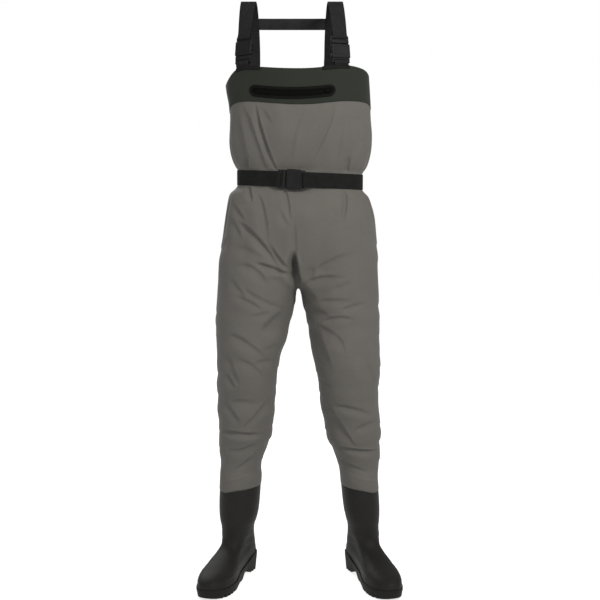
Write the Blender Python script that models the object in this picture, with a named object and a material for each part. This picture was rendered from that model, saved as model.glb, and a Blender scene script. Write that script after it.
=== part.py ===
"""Chest waders: a hollow cloth trunk with a bib, two hollow cloth legs, a yoke with a zipped chest pocket,
a webbing belt, shoulder straps with side-release buckles, and two hollow boots on cleated soles.

Metres, +Z up. The wearer faces -Y, so the wearer's right leg is on the -X side. The garment keeps the
form of a worn one, and it stands on its soles. The origin is under the middle of its bounding box.
"""

import math
from collections import namedtuple

import bmesh
import bpy
from mathutils import Matrix, Vector

# Walls and clearances
CLOTH_WALL = 0.0012
YOKE_WALL = 0.0010
BOOT_WALL = 0.0025
WEBBING = 0.0020
GAP = 0.0003
SEAT_GAP = 0.0005

# Rings: columns round the trunk, and crotch points that join its two halves into the legs
TRUNK_COLUMNS = 36
CROTCH_POINTS = 5
LEG_COLUMNS = TRUNK_COLUMNS // 2 + 1 + CROTCH_POINTS
LEG_STEP = 360.0 / LEG_COLUMNS
INNER_CORNER = 135.0
TRUNK_POWER = 2.3
TOE_POWER = 2.25

# Trunk: heights of the rings between the split and the yoke seam, and its crotch
SPLIT_Z = 0.845
TRUNK_LEVELS = (0.845, 0.900, 0.980, 1.025, 1.054, 1.071, 1.112, 1.128, 1.165, 1.210, 1.255)
YOKE_SEAM_CLEAR = 0.018
LEG_SEAM_RISE = 0.003
CROTCH_DROP = 0.046
CROTCH_ROUND = 0.6
NOTCH_TOP = 0.960
NOTCH_FRONT = 0.22
NOTCH_BACK = 0.12
NOTCH_SPREAD = 24.0

# Belt: tilted a little, lower on the wearer's left
BELT_Z = 1.0915
BELT_WIDTH = 0.040
BELT_TILT = 0.037
BELT_TILT_REACH = 0.110
BELT_BUCKLE_X = -0.021
BELT_BUCKLE_OFF = 0.0035
BELT_LAP = 0.044
BELT_LAP_SHARES = (0.4, 0.6, 0.8, 1.0)
BELT_LAP_STAGGER = 1.15
BELT_LAP_CLEAR = 0.004

# Chest pocket
POCKET_X = -0.0195
POCKET_Z = 1.3225
POCKET_SAG = 0.0095
POCKET_HALF_LENGTH = 0.095
POCKET_FRAME_RADIUS = 0.0155
POCKET_SLOT_RADIUS = 0.0085
POCKET_END_STEPS = 7
POCKET_SIDE_STEPS = 7
POCKET_FRAME_THICK = 0.0012
ZIP_TAPE_THICK = 0.0006
ZIP_TEETH_FOOT = 0.0030
ZIP_TEETH_TOP = 0.0020
ZIP_TEETH_BASE = 0.0007
ZIP_THICK = 0.0018
ZIP_SLIDER_X = 0.068
ZIP_SLIDER_HALF_LENGTH = 0.0060
ZIP_SLIDER_HALF_WIDTH = 0.0042
ZIP_SLIDER_THICK = 0.0034
ZIP_SLIDER_BEVEL = 0.0011

# Shoulder straps, which run either side of a line that lies off the middle
STRAP_WIDTH = 0.040
STRAP_CENTRE = -0.0215
STRAP_FRONT_REACH = 0.1330
STRAP_RIM_Z = 1.384
CROSSBAR_ROW = 4
CROSSBAR_WIDTH = 0.032
CROSSBAR_INSET = 0.002

# Boots
BOOT_X = 0.1750
BOOT_MIDDLE = 0.002
BOOT_Y = 0.006
TOE_OUT = {"right": math.radians(21.3), "left": math.radians(19.3)}
SHAFT_AXIS = 0.078
SHAFT_LEAN = {"right": 0.050, "left": 0.080}
SHAFT_LEAN_FROM = 0.110
SHAFT_SPREAD = {"right": 0.0060, "left": 0.0000}
SHAFT_SPREAD_RUN = 0.060
TOE_SKEW = 0.011
TOE_SKEW_FROM = 0.140
TOE_SKEW_RUN = 0.150
INNER_ARCH = 1.5
OUTER_ARCH = 0.5
HEEL_SEAT = 0.030
BALL_SEAT = 0.018
TOE_SEAT = 0.0225
SEAT_HEEL_END = 0.0600
SEAT_BALL = 0.206
TOE_SEAT_FROM = 0.214
TOE_SEAT_RUN = 0.118
SEAT_FADE = 0.090
HEM_LAP_TOP = 0.281
INSOLE_THICK = 0.004
INSOLE_CLEAR = 0.0012

# Soles
SOLE_GROW = 0.0035
SOLE_WALL = 0.0030
SOLE_WALL_TAPER = 0.8
TREAD_INSET = 0.0022
SIDE_STEP_INSET = 0.0012
SIDE_STEP_RISE = 0.0075
WELT_GROW = 0.0008
WELT_DROP = 0.0010
TREAD_DEPTH = 0.0065
GROOVE_WIDTH = 0.0062
GROOVE_CHEVRON = math.tan(math.radians(16.0))
GROOVE_REACH = 0.075
GROOVE_BELOW = -0.010
FOREFOOT_GROOVES = [0.1385 + 0.0165 * i for i in range(10)]
HEEL_GROOVES = [0.020, 0.0385, 0.057]
HEEL_BREAST = 0.0755
ARCH_FRONT = 0.120
ARCH_RISE = 0.016
ARCH_FALL_FROM = 0.098
TOE_SPRING_FROM = 0.235
TOE_SPRING = 0.009
SOLE_LENGTH = 0.316
SOLE_STATIONS = (-75, -60, -45, -39.4, -38.2, -30, -23.4, -15, 0, 15, 30, 45, 60, 75)

SIDES = {"right": -1, "left": 1}

TrunkRow = namedtuple("TrunkRow", "z centre half front back")
TRUNK = [
    TrunkRow(0.800, -0.006, 0.219, 0.118, 0.130),
    TrunkRow(0.850, -0.005, 0.2165, 0.120, 0.134),
    TrunkRow(0.930, -0.002, 0.2095, 0.119, 0.131),
    TrunkRow(0.985, -0.001, 0.2010, 0.115, 0.124),
    TrunkRow(1.030, -0.003, 0.1925, 0.106, 0.115),
    TrunkRow(1.054, -0.004, 0.1850, 0.099, 0.108),
    TrunkRow(1.068, 0.000, 0.1675, 0.093, 0.096),
    TrunkRow(1.115, 0.000, 0.1675, 0.093, 0.096),
    TrunkRow(1.130, 0.002, 0.1785, 0.098, 0.104),
    TrunkRow(1.165, 0.002, 0.1880, 0.109, 0.111),
    TrunkRow(1.210, 0.001, 0.1905, 0.117, 0.115),
    TrunkRow(1.260, 0.000, 0.189, 0.119, 0.117),
    TrunkRow(1.300, -0.002, 0.1895, 0.117, 0.118),
    TrunkRow(1.340, -0.006, 0.191, 0.112, 0.117),
    TrunkRow(1.375, -0.006, 0.188, 0.106, 0.113),
    TrunkRow(1.420, -0.006, 0.182, 0.098, 0.107),
]

# Yoke: its lower seam and the bib's top edge, by degrees from the front towards the wearer's left
YokeRow = namedtuple("YokeRow", "angle seam top")
YOKE = [
    YokeRow(-180, 1.246, 1.398),
    YokeRow(-130, 1.250, 1.388),
    YokeRow(-90, 1.272, 1.340),
    YokeRow(-72, 1.284, 1.3565),
    YokeRow(-58, 1.292, 1.376),
    YokeRow(-45, 1.294, 1.384),
    YokeRow(0, 1.284, 1.377),
    YokeRow(40, 1.295, 1.387),
    YokeRow(65, 1.293, 1.380),
    YokeRow(90, 1.279, 1.366),
    YokeRow(130, 1.255, 1.388),
    YokeRow(180, 1.246, 1.398),
]
YOKE_STEPS = 3

# Legs, each with its own outline: the trousers hang a little differently on either side
LegRow = namedtuple("LegRow", "z centre depth half_x half_y")
LEGS = {
    "right": [
        LegRow(0.300, -0.1645, 0.011, 0.0548, 0.066),
        LegRow(0.325, -0.1615, 0.011, 0.0573, 0.069),
        LegRow(0.352, -0.1585, 0.0105, 0.0628, 0.074),
        LegRow(0.380, -0.1535, 0.009, 0.0688, 0.079),
        LegRow(0.408, -0.1500, 0.006, 0.0738, 0.083),
        LegRow(0.495, -0.1475, -0.001, 0.0793, 0.088),
        LegRow(0.550, -0.1440, -0.006, 0.0818, 0.091),
        LegRow(0.602, -0.1415, -0.008, 0.0848, 0.096),
        LegRow(0.656, -0.1340, -0.004, 0.0938, 0.101),
        LegRow(0.712, -0.1270, 0.002, 0.1028, 0.108),
        LegRow(0.764, -0.1210, 0.007, 0.1068, 0.114),
    ],
    "left": [
        LegRow(0.300, 0.1625, 0.011, 0.0533, 0.066),
        LegRow(0.325, 0.1590, 0.011, 0.0583, 0.069),
        LegRow(0.352, 0.1545, 0.0105, 0.0648, 0.074),
        LegRow(0.380, 0.1490, 0.009, 0.0723, 0.079),
        LegRow(0.408, 0.1460, 0.006, 0.0758, 0.083),
        LegRow(0.495, 0.1350, -0.001, 0.0808, 0.088),
        LegRow(0.550, 0.1305, -0.006, 0.0843, 0.091),
        LegRow(0.602, 0.1285, -0.008, 0.0913, 0.096),
        LegRow(0.656, 0.1215, -0.004, 0.0953, 0.101),
        LegRow(0.712, 0.1170, 0.002, 0.0998, 0.108),
        LegRow(0.764, 0.1115, 0.007, 0.1043, 0.114),
    ],
}
TWIST_TOP = 0.560

# Boot upper: level slices of the last and the shaft, by height over the sole's seat. Lengths run from the
# back of the sole. Past the ankle the heel line and the ball line meet, and the slice is an oval.
SliceRow = namedtuple("SliceRow", "height back heel_line heel_half waist ball_line ball_half front")
BOOT_SLICES = [
    SliceRow(0.000, 0.0070, 0.044, 0.0330, 0.0045, 0.204, 0.0470, 0.3090),
    SliceRow(0.012, 0.0048, 0.044, 0.0352, 0.0040, 0.204, 0.0485, 0.3110),
    SliceRow(0.024, 0.0048, 0.044, 0.0360, 0.0030, 0.199, 0.0468, 0.3030),
    SliceRow(0.033, 0.0060, 0.045, 0.0360, 0.0025, 0.189, 0.0430, 0.2830),
    SliceRow(0.040, 0.0075, 0.047, 0.0360, 0.0020, 0.174, 0.0380, 0.2500),
    SliceRow(0.046, 0.0092, 0.050, 0.0360, 0.0015, 0.151, 0.0342, 0.2150),
    SliceRow(0.053, 0.0112, 0.054, 0.0366, 0.0010, 0.124, 0.0326, 0.1800),
    SliceRow(0.063, 0.0135, 0.060, 0.0380, 0.0005, 0.100, 0.0332, 0.1520),
    SliceRow(0.078, 0.0160, 0.070, 0.0395, 0.0000, 0.086, 0.0366, 0.1390),
    SliceRow(0.100, 0.0178, 0.080, 0.0404, 0.0000, 0.080, 0.0404, 0.1375),
    SliceRow(0.128, 0.0165, 0.079, 0.0434, 0.0000, 0.079, 0.0434, 0.1380),
    SliceRow(0.165, 0.0130, 0.077, 0.0482, 0.0000, 0.077, 0.0482, 0.1385),
    SliceRow(0.246, 0.0090, 0.075, 0.0488, 0.0000, 0.075, 0.0488, 0.1370),
]

# Hem of a leg: its height by degrees round the leg, from the outer side towards the front
HemRow = namedtuple("HemRow", "angle z")
HEM = [
    HemRow(-158.0, 0.2560),
    HemRow(-68.0, 0.2540),
    HemRow(22.0, 0.2470),
    HemRow(64.0, 0.2410),
    HemRow(112.0, 0.2500),
    HemRow(202.0, 0.2560),
]

# Sole wall: how far it stands up the side of the upper, by length from the back of the sole
RimRow = namedtuple("RimRow", "length rise")
SOLE_RIM = [
    RimRow(0.000, 0.026),
    RimRow(0.030, 0.024),
    RimRow(0.070, 0.013),
    RimRow(0.100, 0.006),
    RimRow(0.200, 0.006),
    RimRow(0.250, 0.006),
    RimRow(0.316, 0.007),
]
RIM_STEP = 0.8
RIM_GAP = 0.0008
RIM_KNEE = BOOT_SLICES[1].height

# Shoulder strap from the top of the shoulder to the back of the bib. Reach is the distance from the straps'
# own middle line, and turn swings the strap's face outwards from the back.
StrapRow = namedtuple("StrapRow", "reach y z turn")
STRAP_OVER = [
    StrapRow(0.1150, 0.000, 1.5625, 0),
    StrapRow(0.1140, 0.024, 1.5620, 0),
    StrapRow(0.1125, 0.050, 1.5500, -4),
    StrapRow(0.1110, 0.070, 1.5275, -10),
    StrapRow(0.1095, 0.085, 1.4985, -10),
    StrapRow(0.1080, 0.093, 1.4650, -16),
    StrapRow(0.1072, 0.0985, 1.4300, -20),
]
STRAP_FRONT_STEPS = 5
STRAP_FRONT_PULL = (0.110, 0.080)
STRAP_BACK_DROPS = (-0.010, 0.012, 0.052)

# Side-release buckle, in its own frame: X across, Y out from the chest, Z along the webbing
SOCKET_HALF = 0.026
SOCKET_LENGTH = 0.038
SOCKET_THICK = 0.011
SOCKET_EYE = 0.0495
SOCKET_WALL = 0.0023
SOCKET_BEVEL = 0.0022
CAVITY_HALF = 0.0215
CAVITY_DEPTH = 0.031
WINDOW_LOW = 0.009
WINDOW_HIGH = 0.026
EYE_HALF = 0.024
EYE_THICK = 0.0044
EYE_ROOT = 0.004
BAR = 0.0045
SLOT = 0.0038
SLOT_HALF = 0.0208
PLUG_BASE = 0.020
PLUG_THICK = 0.009
PLUG_BODY = 0.0095
PLUG_BEVEL = 0.0015
PLUG_EYE_THICK = 0.0044
PLUG_MOUTH_GAP = 0.001
ARM_INNER = 0.0145
ARM_OUTER = 0.0205
ARM_TIP = 0.028
ARM_ROOT = 0.004
ARM_FOOT = 0.001
ARM_PAD = 0.0252
ARM_PAD_CLEAR = 0.0008
ARM_PAD_SLOPE = 0.0035
ARM_HALF_THICK = 0.0026
GUIDE_HALF = 0.004
GUIDE_TIP = 0.020
GUIDE_TAPER = 0.7
SOCKET_BAR_Z = SOCKET_EYE - BAR / 2
PLUG_BAR_Z = -PLUG_MOUTH_GAP - PLUG_BASE + BAR / 2
LOOP_RADIUS = 0.0034 + WEBBING / 2
LOOP_STEPS = 6
LOOP_STRAIGHT = 0.0035
BUCKLE_OFF_RIM = {"right": 0.0145, "left": 0.0100}
BUCKLE_LEAN_IN = 0.06
BUCKLE_LEAN_BACK = 0.18
STRAP_LEAD = 0.034
STRAP_LEAD_REAR = (0.80, 0.012)
STRAP_LEAD_FRONT = (0.62, 0.013)
TAB_LAP = 0.038
TAB_HOLLOW = 0.0030

# Colours, as linear red, green and blue, with roughness
FINISHES = {
    "shell_cloth": ((0.150, 0.141, 0.127), 0.80),
    "yoke_cloth": ((0.034, 0.038, 0.029), 0.78),
    "zip_trim": ((0.010, 0.011, 0.008), 0.55),
    "webbing": ((0.019, 0.019, 0.019), 0.85),
    "buckle_plastic": ((0.018, 0.018, 0.018), 0.45),
    "boot_rubber": ((0.026, 0.025, 0.023), 0.55),
    "sole_rubber": ((0.020, 0.019, 0.018), 0.65),
    "insole_felt": ((0.060, 0.058, 0.055), 0.95),
}


def clear_scene():
    for thing in list(bpy.data.objects):
        bpy.data.objects.remove(thing, do_unlink=True)


def finish_of(slot):
    """The named material, made once."""
    found = bpy.data.materials.get(slot)
    if found:
        return found
    colour, roughness = FINISHES[slot]
    material = bpy.data.materials.new(slot)
    material.use_nodes = True
    shader = material.node_tree.nodes["Principled BSDF"]
    shader.inputs["Base Color"].default_value = (*colour, 1.0)
    shader.inputs["Roughness"].default_value = roughness
    shader.inputs["Metallic"].default_value = 0.0
    return material


def make_object(name, work, slot, parent, crease=40.0):
    """A named object from a bmesh, shaded smooth below the crease angle."""
    mesh = bpy.data.meshes.new(name)
    work.to_mesh(mesh)
    work.free()
    mesh.materials.append(finish_of(slot))
    mesh.shade_smooth()
    mesh.set_sharp_from_angle(angle=math.radians(crease))
    thing = bpy.data.objects.new(name, mesh)
    bpy.context.scene.collection.objects.link(thing)
    thing.parent = parent
    return thing


def make_empty(name, parent=None, matrix=None):
    thing = bpy.data.objects.new(name, None)
    bpy.context.scene.collection.objects.link(thing)
    thing.parent = parent
    if matrix is not None:
        thing.matrix_local = matrix
    return thing


def thicken(thing, wall):
    """A wall of this thickness, on the inner side of the object's surface."""
    solid = thing.modifiers.new("wall", "SOLIDIFY")
    solid.thickness = wall
    solid.offset = -1.0
    solid.use_rim = True


def combine(thing, suffix, work, operation):
    """Joins or cuts an object by a hidden one, which is made from a bmesh."""
    tool = make_object(thing.name + suffix, work, thing.data.materials[0].name, thing.parent)
    tool.hide_render = True
    tool.display_type = "WIRE"
    step = thing.modifiers.new(operation.lower(), "BOOLEAN")
    step.operation = operation
    step.object = tool


def clamp01(value):
    return min(1.0, max(0.0, value))


def smooth01(value):
    value = clamp01(value)
    return value * value * (3.0 - 2.0 * value)


def signed_power(value, power):
    return math.copysign(abs(value) ** power, value)


def table_place(rows, at):
    """The row below a place on a table's first column, and the share of the way to the next row."""
    for index in range(len(rows) - 2, 0, -1):
        if at >= rows[index][0]:
            break
    else:
        index = 0
    low, high = rows[index][0], rows[index + 1][0]
    return index, clamp01((at - low) / (high - low))


def straight(rows, at, column):
    """A column of a table, straight between its rows."""
    index, share = table_place(rows, at)
    below, above = getattr(rows[index], column), getattr(rows[index + 1], column)
    return below + (above - below) * share


def curved(rows, at, column):
    """A column of a table, on a smooth curve through its rows that never overshoots them."""
    index, share = table_place(rows, at)
    value = [getattr(row, column) for row in rows]

    def slope(k):
        if k == 0 or k == len(rows) - 1:
            return 0.0
        before = (value[k] - value[k - 1]) / (rows[k][0] - rows[k - 1][0])
        after = (value[k + 1] - value[k]) / (rows[k + 1][0] - rows[k][0])
        return 2.0 * before * after / (before + after) if before * after > 0.0 else 0.0

    step = rows[index + 1][0] - rows[index][0]
    square, cube = share * share, share**3
    return (
        value[index] * (2 * cube - 3 * square + 1)
        + value[index + 1] * (3 * square - 2 * cube)
        + step * slope(index) * (cube - 2 * square + share)
        + step * slope(index + 1) * (cube - square)
    )


def join_rings(work, lower, upper):
    """Quads between two rings of vertices, both counter-clockwise from above."""
    count = len(lower)
    for k in range(count):
        after = (k + 1) % count
        work.faces.new((lower[k], lower[after], upper[after], upper[k]))


def add_ring(work, points):
    return [work.verts.new(point) for point in points]


def loft(rings, cap_low=False, cap_high=False):
    """A bmesh of rings from low to high, each counter-clockwise from above."""
    work = bmesh.new()
    made = [add_ring(work, ring) for ring in rings]
    for lower, upper in zip(made, made[1:]):
        join_rings(work, lower, upper)
    if cap_low:
        work.faces.new(list(reversed(made[0])))
    if cap_high:
        work.faces.new(made[-1])
    return work


def box_bmesh(low, high):
    work = bmesh.new()
    bmesh.ops.create_cube(work, size=1.0)
    low, high = Vector(low), Vector(high)
    for vert in work.verts:
        vert.co = Vector(a + (b - a) * (c + 0.5) for a, b, c in zip(low, high, vert.co))
    return work


def bevelled_box(low, high, bevel):
    work = box_bmesh(low, high)
    bmesh.ops.bevel(work, geom=work.edges[:], offset=bevel, segments=1, affect="EDGES")
    return work


def ribbon_axes(path, index):
    """The directions along, across and out of a band at one point of its path."""
    before, after = path[max(index - 1, 0)][0], path[min(index + 1, len(path) - 1)][0]
    along = (after - before).normalized()
    across = path[index][1]
    across = (across - along * across.dot(along)).normalized()
    return along, across, along.cross(across)


def ribbon(path, width, thickness):
    """A flat band along a path of (centre, across) pairs, with square ends."""
    work = bmesh.new()
    rings = []
    for index, (centre, across) in enumerate(path):
        along, across, out = ribbon_axes(path, index)
        half, rise = across * width / 2, out * thickness / 2
        corners = (centre - half - rise, centre + half - rise, centre + half + rise, centre - half + rise)
        rings.append(add_ring(work, corners))
    for lower, upper in zip(rings, rings[1:]):
        join_rings(work, lower, upper)
    work.faces.new(list(reversed(rings[0])))
    work.faces.new(rings[-1])
    bmesh.ops.recalc_face_normals(work, faces=work.faces)
    return work


# Trunk and legs


def trunk_tilt(z):
    """How far a level of the trunk leans with the belt, per metre across."""
    return BELT_TILT * (1.0 - smooth01(abs(z - BELT_Z) / BELT_TILT_REACH))


def trunk_point(angle, z, grow=0.0):
    """A point of the trunk's outside, by degrees from the front and level, grown outwards."""
    turn = math.radians(angle)
    sine = signed_power(math.sin(turn), 2.0 / TRUNK_POWER)
    cosine = signed_power(math.cos(turn), 2.0 / TRUNK_POWER)
    depth = curved(TRUNK, z, "front" if cosine > 0 else "back")
    notch = smooth01((NOTCH_TOP - z) / (NOTCH_TOP - SPLIT_Z))
    off_middle = min(abs(angle), 360.0 - abs(angle)) if cosine > 0 else abs(180.0 - abs(angle))
    share = NOTCH_FRONT if cosine > 0 else NOTCH_BACK
    depth *= 1.0 - share * notch * math.exp(-((off_middle / NOTCH_SPREAD) ** 2))
    x = curved(TRUNK, z, "centre") + (curved(TRUNK, z, "half") + grow) * sine
    return Vector((x, -(depth + grow) * cosine, z - trunk_tilt(z) * x))


def trunk_frame(angle, z, grow=0.0):
    """A frame on the trunk's outside: X across, Y outwards, Z up the cloth."""
    here = trunk_point(angle, z, grow)
    across = (trunk_point(angle + 1, z, grow) - trunk_point(angle - 1, z, grow)).normalized()
    up = trunk_point(angle, z + 0.01, grow) - trunk_point(angle, z - 0.01, grow)
    up = (up - across * up.dot(across)).normalized()
    out = across.cross(up)
    return Matrix.Translation(here) @ Matrix((-across, out, up)).transposed().to_4x4()


def trunk_angle_at(x, z):
    """The angle in front where the trunk's outside reaches this distance across."""
    low, high = -89.0, 89.0
    for _ in range(40):
        middle = (low + high) / 2
        if trunk_point(middle, z).x < x:
            low = middle
        else:
            high = middle
    return (low + high) / 2


def column_angles():
    """Degrees of the trunk's columns, from the front counter-clockwise from above."""
    return [k * 360.0 / TRUNK_COLUMNS for k in range(TRUNK_COLUMNS)]


def signed_angle(angle):
    return angle - 360.0 if angle > 180.0 else angle


def yoke_z(angle, step):
    """Height of one of the yoke's rows, from its seam to the top edge."""
    angle = signed_angle(angle)
    seam, top = curved(YOKE, angle, "seam"), curved(YOKE, angle, "top")
    return seam + (top - seam) * step / YOKE_STEPS


def level_ring(level):
    """A ring of the trunk at one height, or lower where it would come too near the yoke's seam."""
    ring = []
    for angle in column_angles():
        z = min(level, yoke_z(angle, 0) - YOKE_SEAM_CLEAR)
        ring.append(trunk_point(angle, z))
    return ring


def trunk_rings():
    """Rings of the trunk from the legs' seam to the bib's top edge."""
    rings = [level_ring(level) for level in TRUNK_LEVELS]
    for step in range(YOKE_STEPS + 1):
        rings.append([trunk_point(angle, yoke_z(angle, step)) for angle in column_angles()])
    return rings


def leg_angles(side):
    """Degrees round a leg from its outer side towards the front, counter-clockwise from above."""
    return [SIDES[side] * (INNER_CORNER - LEG_STEP * k) for k in range(LEG_COLUMNS)]


def leg_directions(side, turn):
    """The outer and the forward direction of a leg that is turned out."""
    sign = SIDES[side]
    outer = Vector((sign * math.cos(turn), math.sin(turn), 0.0))
    forward = Vector((sign * math.sin(turn), -math.cos(turn), 0.0))
    return outer, forward


def leg_ring(side, z):
    rows = LEGS[side]
    turn = TOE_OUT[side] * smooth01((TWIST_TOP - z) / (TWIST_TOP - rows[0].z))
    outer, forward = leg_directions(side, turn)
    centre = Vector((curved(rows, z, "centre"), curved(rows, z, "depth"), z))
    half_x, half_y = curved(rows, z, "half_x"), curved(rows, z, "half_y")
    ring = []
    for angle in leg_angles(side):
        turned = math.radians(angle)
        ring.append(centre + outer * half_x * math.cos(turned) + forward * half_y * math.sin(turned))
    return ring


def hem_ring(side, lift):
    """A ring of the leg's hem, lapped over the boot's shaft; lift is its height over the hem's edge."""
    place = boot_matrix(side)
    ring = []
    for angle in leg_angles(side):
        z = curved(HEM, signed_angle(angle % 360.0), "z") + lift
        z = min(z, HEM_LAP_TOP)
        ring.append(place @ boot_point(side, angle, z - HEEL_SEAT, CLOTH_WALL + GAP))
    return ring


def build_trunk(parent):
    """The cloth trunk with its bib, open at the top and underneath, where the legs are sewn on."""
    trunk = make_object("cloth_trunk", loft(trunk_rings()), "shell_cloth", parent)
    thicken(trunk, CLOTH_WALL)


def crotch_curve(side):
    """The middle seam under the trunk from front to back, half a gap off it on the leg's own side."""
    front, back = trunk_point(0.0, SPLIT_Z), trunk_point(180.0, SPLIT_Z)
    curve = []
    for k in range(CROTCH_POINTS + 2):
        share = k / (CROTCH_POINTS + 1)
        point = front.lerp(back, share)
        point.x += SIDES[side] * GAP / 2
        point.z -= CROTCH_DROP * math.sin(math.pi * share) ** CROTCH_ROUND
        curve.append(point)
    return curve


def leg_top(side):
    """A leg's upper ring: half the trunk's lowest ring, then the crotch, both a gap below the trunk."""
    ring = [trunk_point(angle, SPLIT_Z) for angle in column_angles()]
    half = TRUNK_COLUMNS // 2
    front, *crotch, back = crotch_curve(side)
    if side == "left":
        top = [front] + ring[1:half] + [back] + list(reversed(crotch))
    else:
        top = [back] + ring[half + 1 :] + [front] + crotch
    return [point - Vector((0.0, 0.0, GAP)) for point in top]


def build_leg(side, parent):
    """A cloth leg from the hem over the boot's shaft up to the trunk, upright along its upper seam."""
    rings = [hem_ring(side, lift) for lift in (0.0, HEM_LAP_TOP)]
    rings += [leg_ring(side, row.z) for row in LEGS[side]]
    top = leg_top(side)
    rings.append([point - Vector((0.0, 0.0, LEG_SEAM_RISE)) for point in top])
    rings.append(top)
    leg = make_object("cloth_leg_" + side, loft(rings), "shell_cloth", parent)
    thicken(leg, CLOTH_WALL)


def build_yoke(parent):
    """The darker band round the top of the bib, laid over the trunk."""
    grow = GAP + YOKE_WALL
    rings = []
    for step in range(YOKE_STEPS + 1):
        rings.append([trunk_point(angle, yoke_z(angle, step), grow) for angle in column_angles()])
    yoke = make_object("chest_yoke", loft(rings), "yoke_cloth", parent)
    thicken(yoke, YOKE_WALL)


# Chest pocket


def stadium(half_length, radius):
    """A loop of (across, up) points: a bar with round ends, counter-clockwise from the front."""
    loop = []
    for end in (1, -1):
        for k in range(1, POCKET_SIDE_STEPS):
            share = 2.0 * k / POCKET_SIDE_STEPS - 1.0
            loop.append((end * half_length * share, -end * radius))
        for k in range(POCKET_END_STEPS):
            turn = math.pi * (k / (POCKET_END_STEPS - 1) - 0.5)
            loop.append((end * (half_length + radius * math.cos(turn)), end * radius * math.sin(turn)))
    return loop


def pocket_z(across):
    """Height of the pocket's middle line, which sags between its ends."""
    reach = POCKET_HALF_LENGTH + POCKET_FRAME_RADIUS
    return POCKET_Z - POCKET_SAG * (1.0 - (across / reach) ** 2)


def chest_point(across, up, grow):
    """A point of the chest by its place on the pocket."""
    x, z = POCKET_X + across, pocket_z(across) + up
    return trunk_point(trunk_angle_at(x, z), z, grow)


def fill_stadium(work, loop):
    """Closes a stadium's loop with strips across it, from the middle of one round end to the other."""
    count = len(loop)
    tip = POCKET_SIDE_STEPS - 1 + POCKET_END_STEPS // 2
    ordered = loop[tip:] + loop[:tip]
    for k in range(count // 2):
        corners = [ordered[k], ordered[k + 1], ordered[count - k - 1], ordered[(count - k) % count]]
        work.faces.new([vert for i, vert in enumerate(corners) if vert not in corners[:i]])


def build_pocket(parent):
    """A welded window frame on the yoke, with a closed zip in its slot and a slider at one end."""
    base = GAP + YOKE_WALL + SEAT_GAP
    top = base + POCKET_FRAME_THICK
    work = bmesh.new()
    outer = (POCKET_HALF_LENGTH, POCKET_FRAME_RADIUS)
    slot = (POCKET_HALF_LENGTH, POCKET_SLOT_RADIUS)
    loops = []
    for (half_length, radius), grow in ((outer, base), (outer, top), (slot, top), (slot, base)):
        loops.append(add_ring(work, [chest_point(a, u, grow) for a, u in stadium(half_length, radius)]))
    for lower, upper in zip(loops, loops[1:] + loops[:1]):
        join_rings(work, lower, upper)
    bmesh.ops.recalc_face_normals(work, faces=work.faces)
    make_object("pocket_window_frame", work, "zip_trim", parent)

    edge = POCKET_SLOT_RADIUS - SEAT_GAP
    levels = (
        (edge, base),
        (edge, base + ZIP_TAPE_THICK),
        (ZIP_TEETH_FOOT, base + ZIP_TEETH_BASE),
        (ZIP_TEETH_TOP, base + ZIP_THICK),
    )
    work = bmesh.new()
    loops = []
    for radius, grow in levels:
        points = [chest_point(a, u, grow) for a, u in stadium(POCKET_HALF_LENGTH, radius)]
        loops.append(add_ring(work, points))
    for lower, upper in zip(loops, loops[1:]):
        join_rings(work, lower, upper)
    fill_stadium(work, loops[0])
    fill_stadium(work, loops[-1])
    bmesh.ops.recalc_face_normals(work, faces=work.faces)
    make_object("pocket_zip", work, "zip_trim", parent)

    seat = base + ZIP_THICK + GAP
    slider_z = pocket_z(ZIP_SLIDER_X - POCKET_X)
    place = trunk_frame(trunk_angle_at(ZIP_SLIDER_X, slider_z), slider_z, seat)
    half_length, half_width = ZIP_SLIDER_HALF_LENGTH, ZIP_SLIDER_HALF_WIDTH
    far = (half_length, ZIP_SLIDER_THICK, half_width)
    work = bevelled_box((-half_length, 0.0, -half_width), far, ZIP_SLIDER_BEVEL)
    slider = make_object("pocket_zip_slider", work, "buckle_plastic", parent)
    slider.matrix_local = place


# Side-release buckles and webbing


def build_socket(name, parent):
    """The female half: a flat box open at its mouth, with side windows and an eye for the webbing."""
    half, deep = SOCKET_HALF, SOCKET_THICK / 2
    work = bevelled_box((-half, -deep, 0.0), (half, deep, SOCKET_LENGTH), SOCKET_BEVEL)
    socket = make_object(name, work, "buckle_plastic", parent)
    corner, far = (-EYE_HALF, -EYE_THICK / 2, SOCKET_LENGTH - EYE_ROOT), (EYE_HALF, EYE_THICK / 2, SOCKET_EYE)
    combine(socket, "_eye", box_bmesh(corner, far), "UNION")
    hollow = deep - SOCKET_WALL
    low, high = SOCKET_EYE - BAR - SLOT, SOCKET_EYE - BAR
    cuts = (
        ("_cavity", (-CAVITY_HALF, -hollow, -SOCKET_WALL), (CAVITY_HALF, hollow, CAVITY_DEPTH)),
        ("_windows", (-2 * half, -hollow, WINDOW_LOW), (2 * half, hollow, WINDOW_HIGH)),
        ("_slot", (-SLOT_HALF, -2 * deep, low), (SLOT_HALF, 2 * deep, high)),
    )
    for suffix, corner, far in cuts:
        combine(socket, suffix, box_bmesh(corner, far), "DIFFERENCE")


def plug_arms():
    """The plug's two sprung arms and its guide, as one outline of points (across, along)."""
    root = -PLUG_MOUTH_GAP - ARM_ROOT
    right = [
        (ARM_OUTER, root),
        (ARM_OUTER, WINDOW_LOW + ARM_PAD_CLEAR),
        (ARM_PAD, WINDOW_LOW + ARM_PAD_SLOPE),
        (ARM_PAD, WINDOW_HIGH - ARM_PAD_SLOPE),
        (ARM_OUTER, WINDOW_HIGH - ARM_PAD_CLEAR),
        (ARM_OUTER, ARM_TIP),
        (ARM_INNER, ARM_TIP),
        (ARM_INNER + ARM_FOOT, ARM_FOOT),
        (GUIDE_HALF, ARM_FOOT),
        (GUIDE_HALF * GUIDE_TAPER, GUIDE_TIP),
    ]
    return right + [(-across, along) for across, along in reversed(right)]


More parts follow.
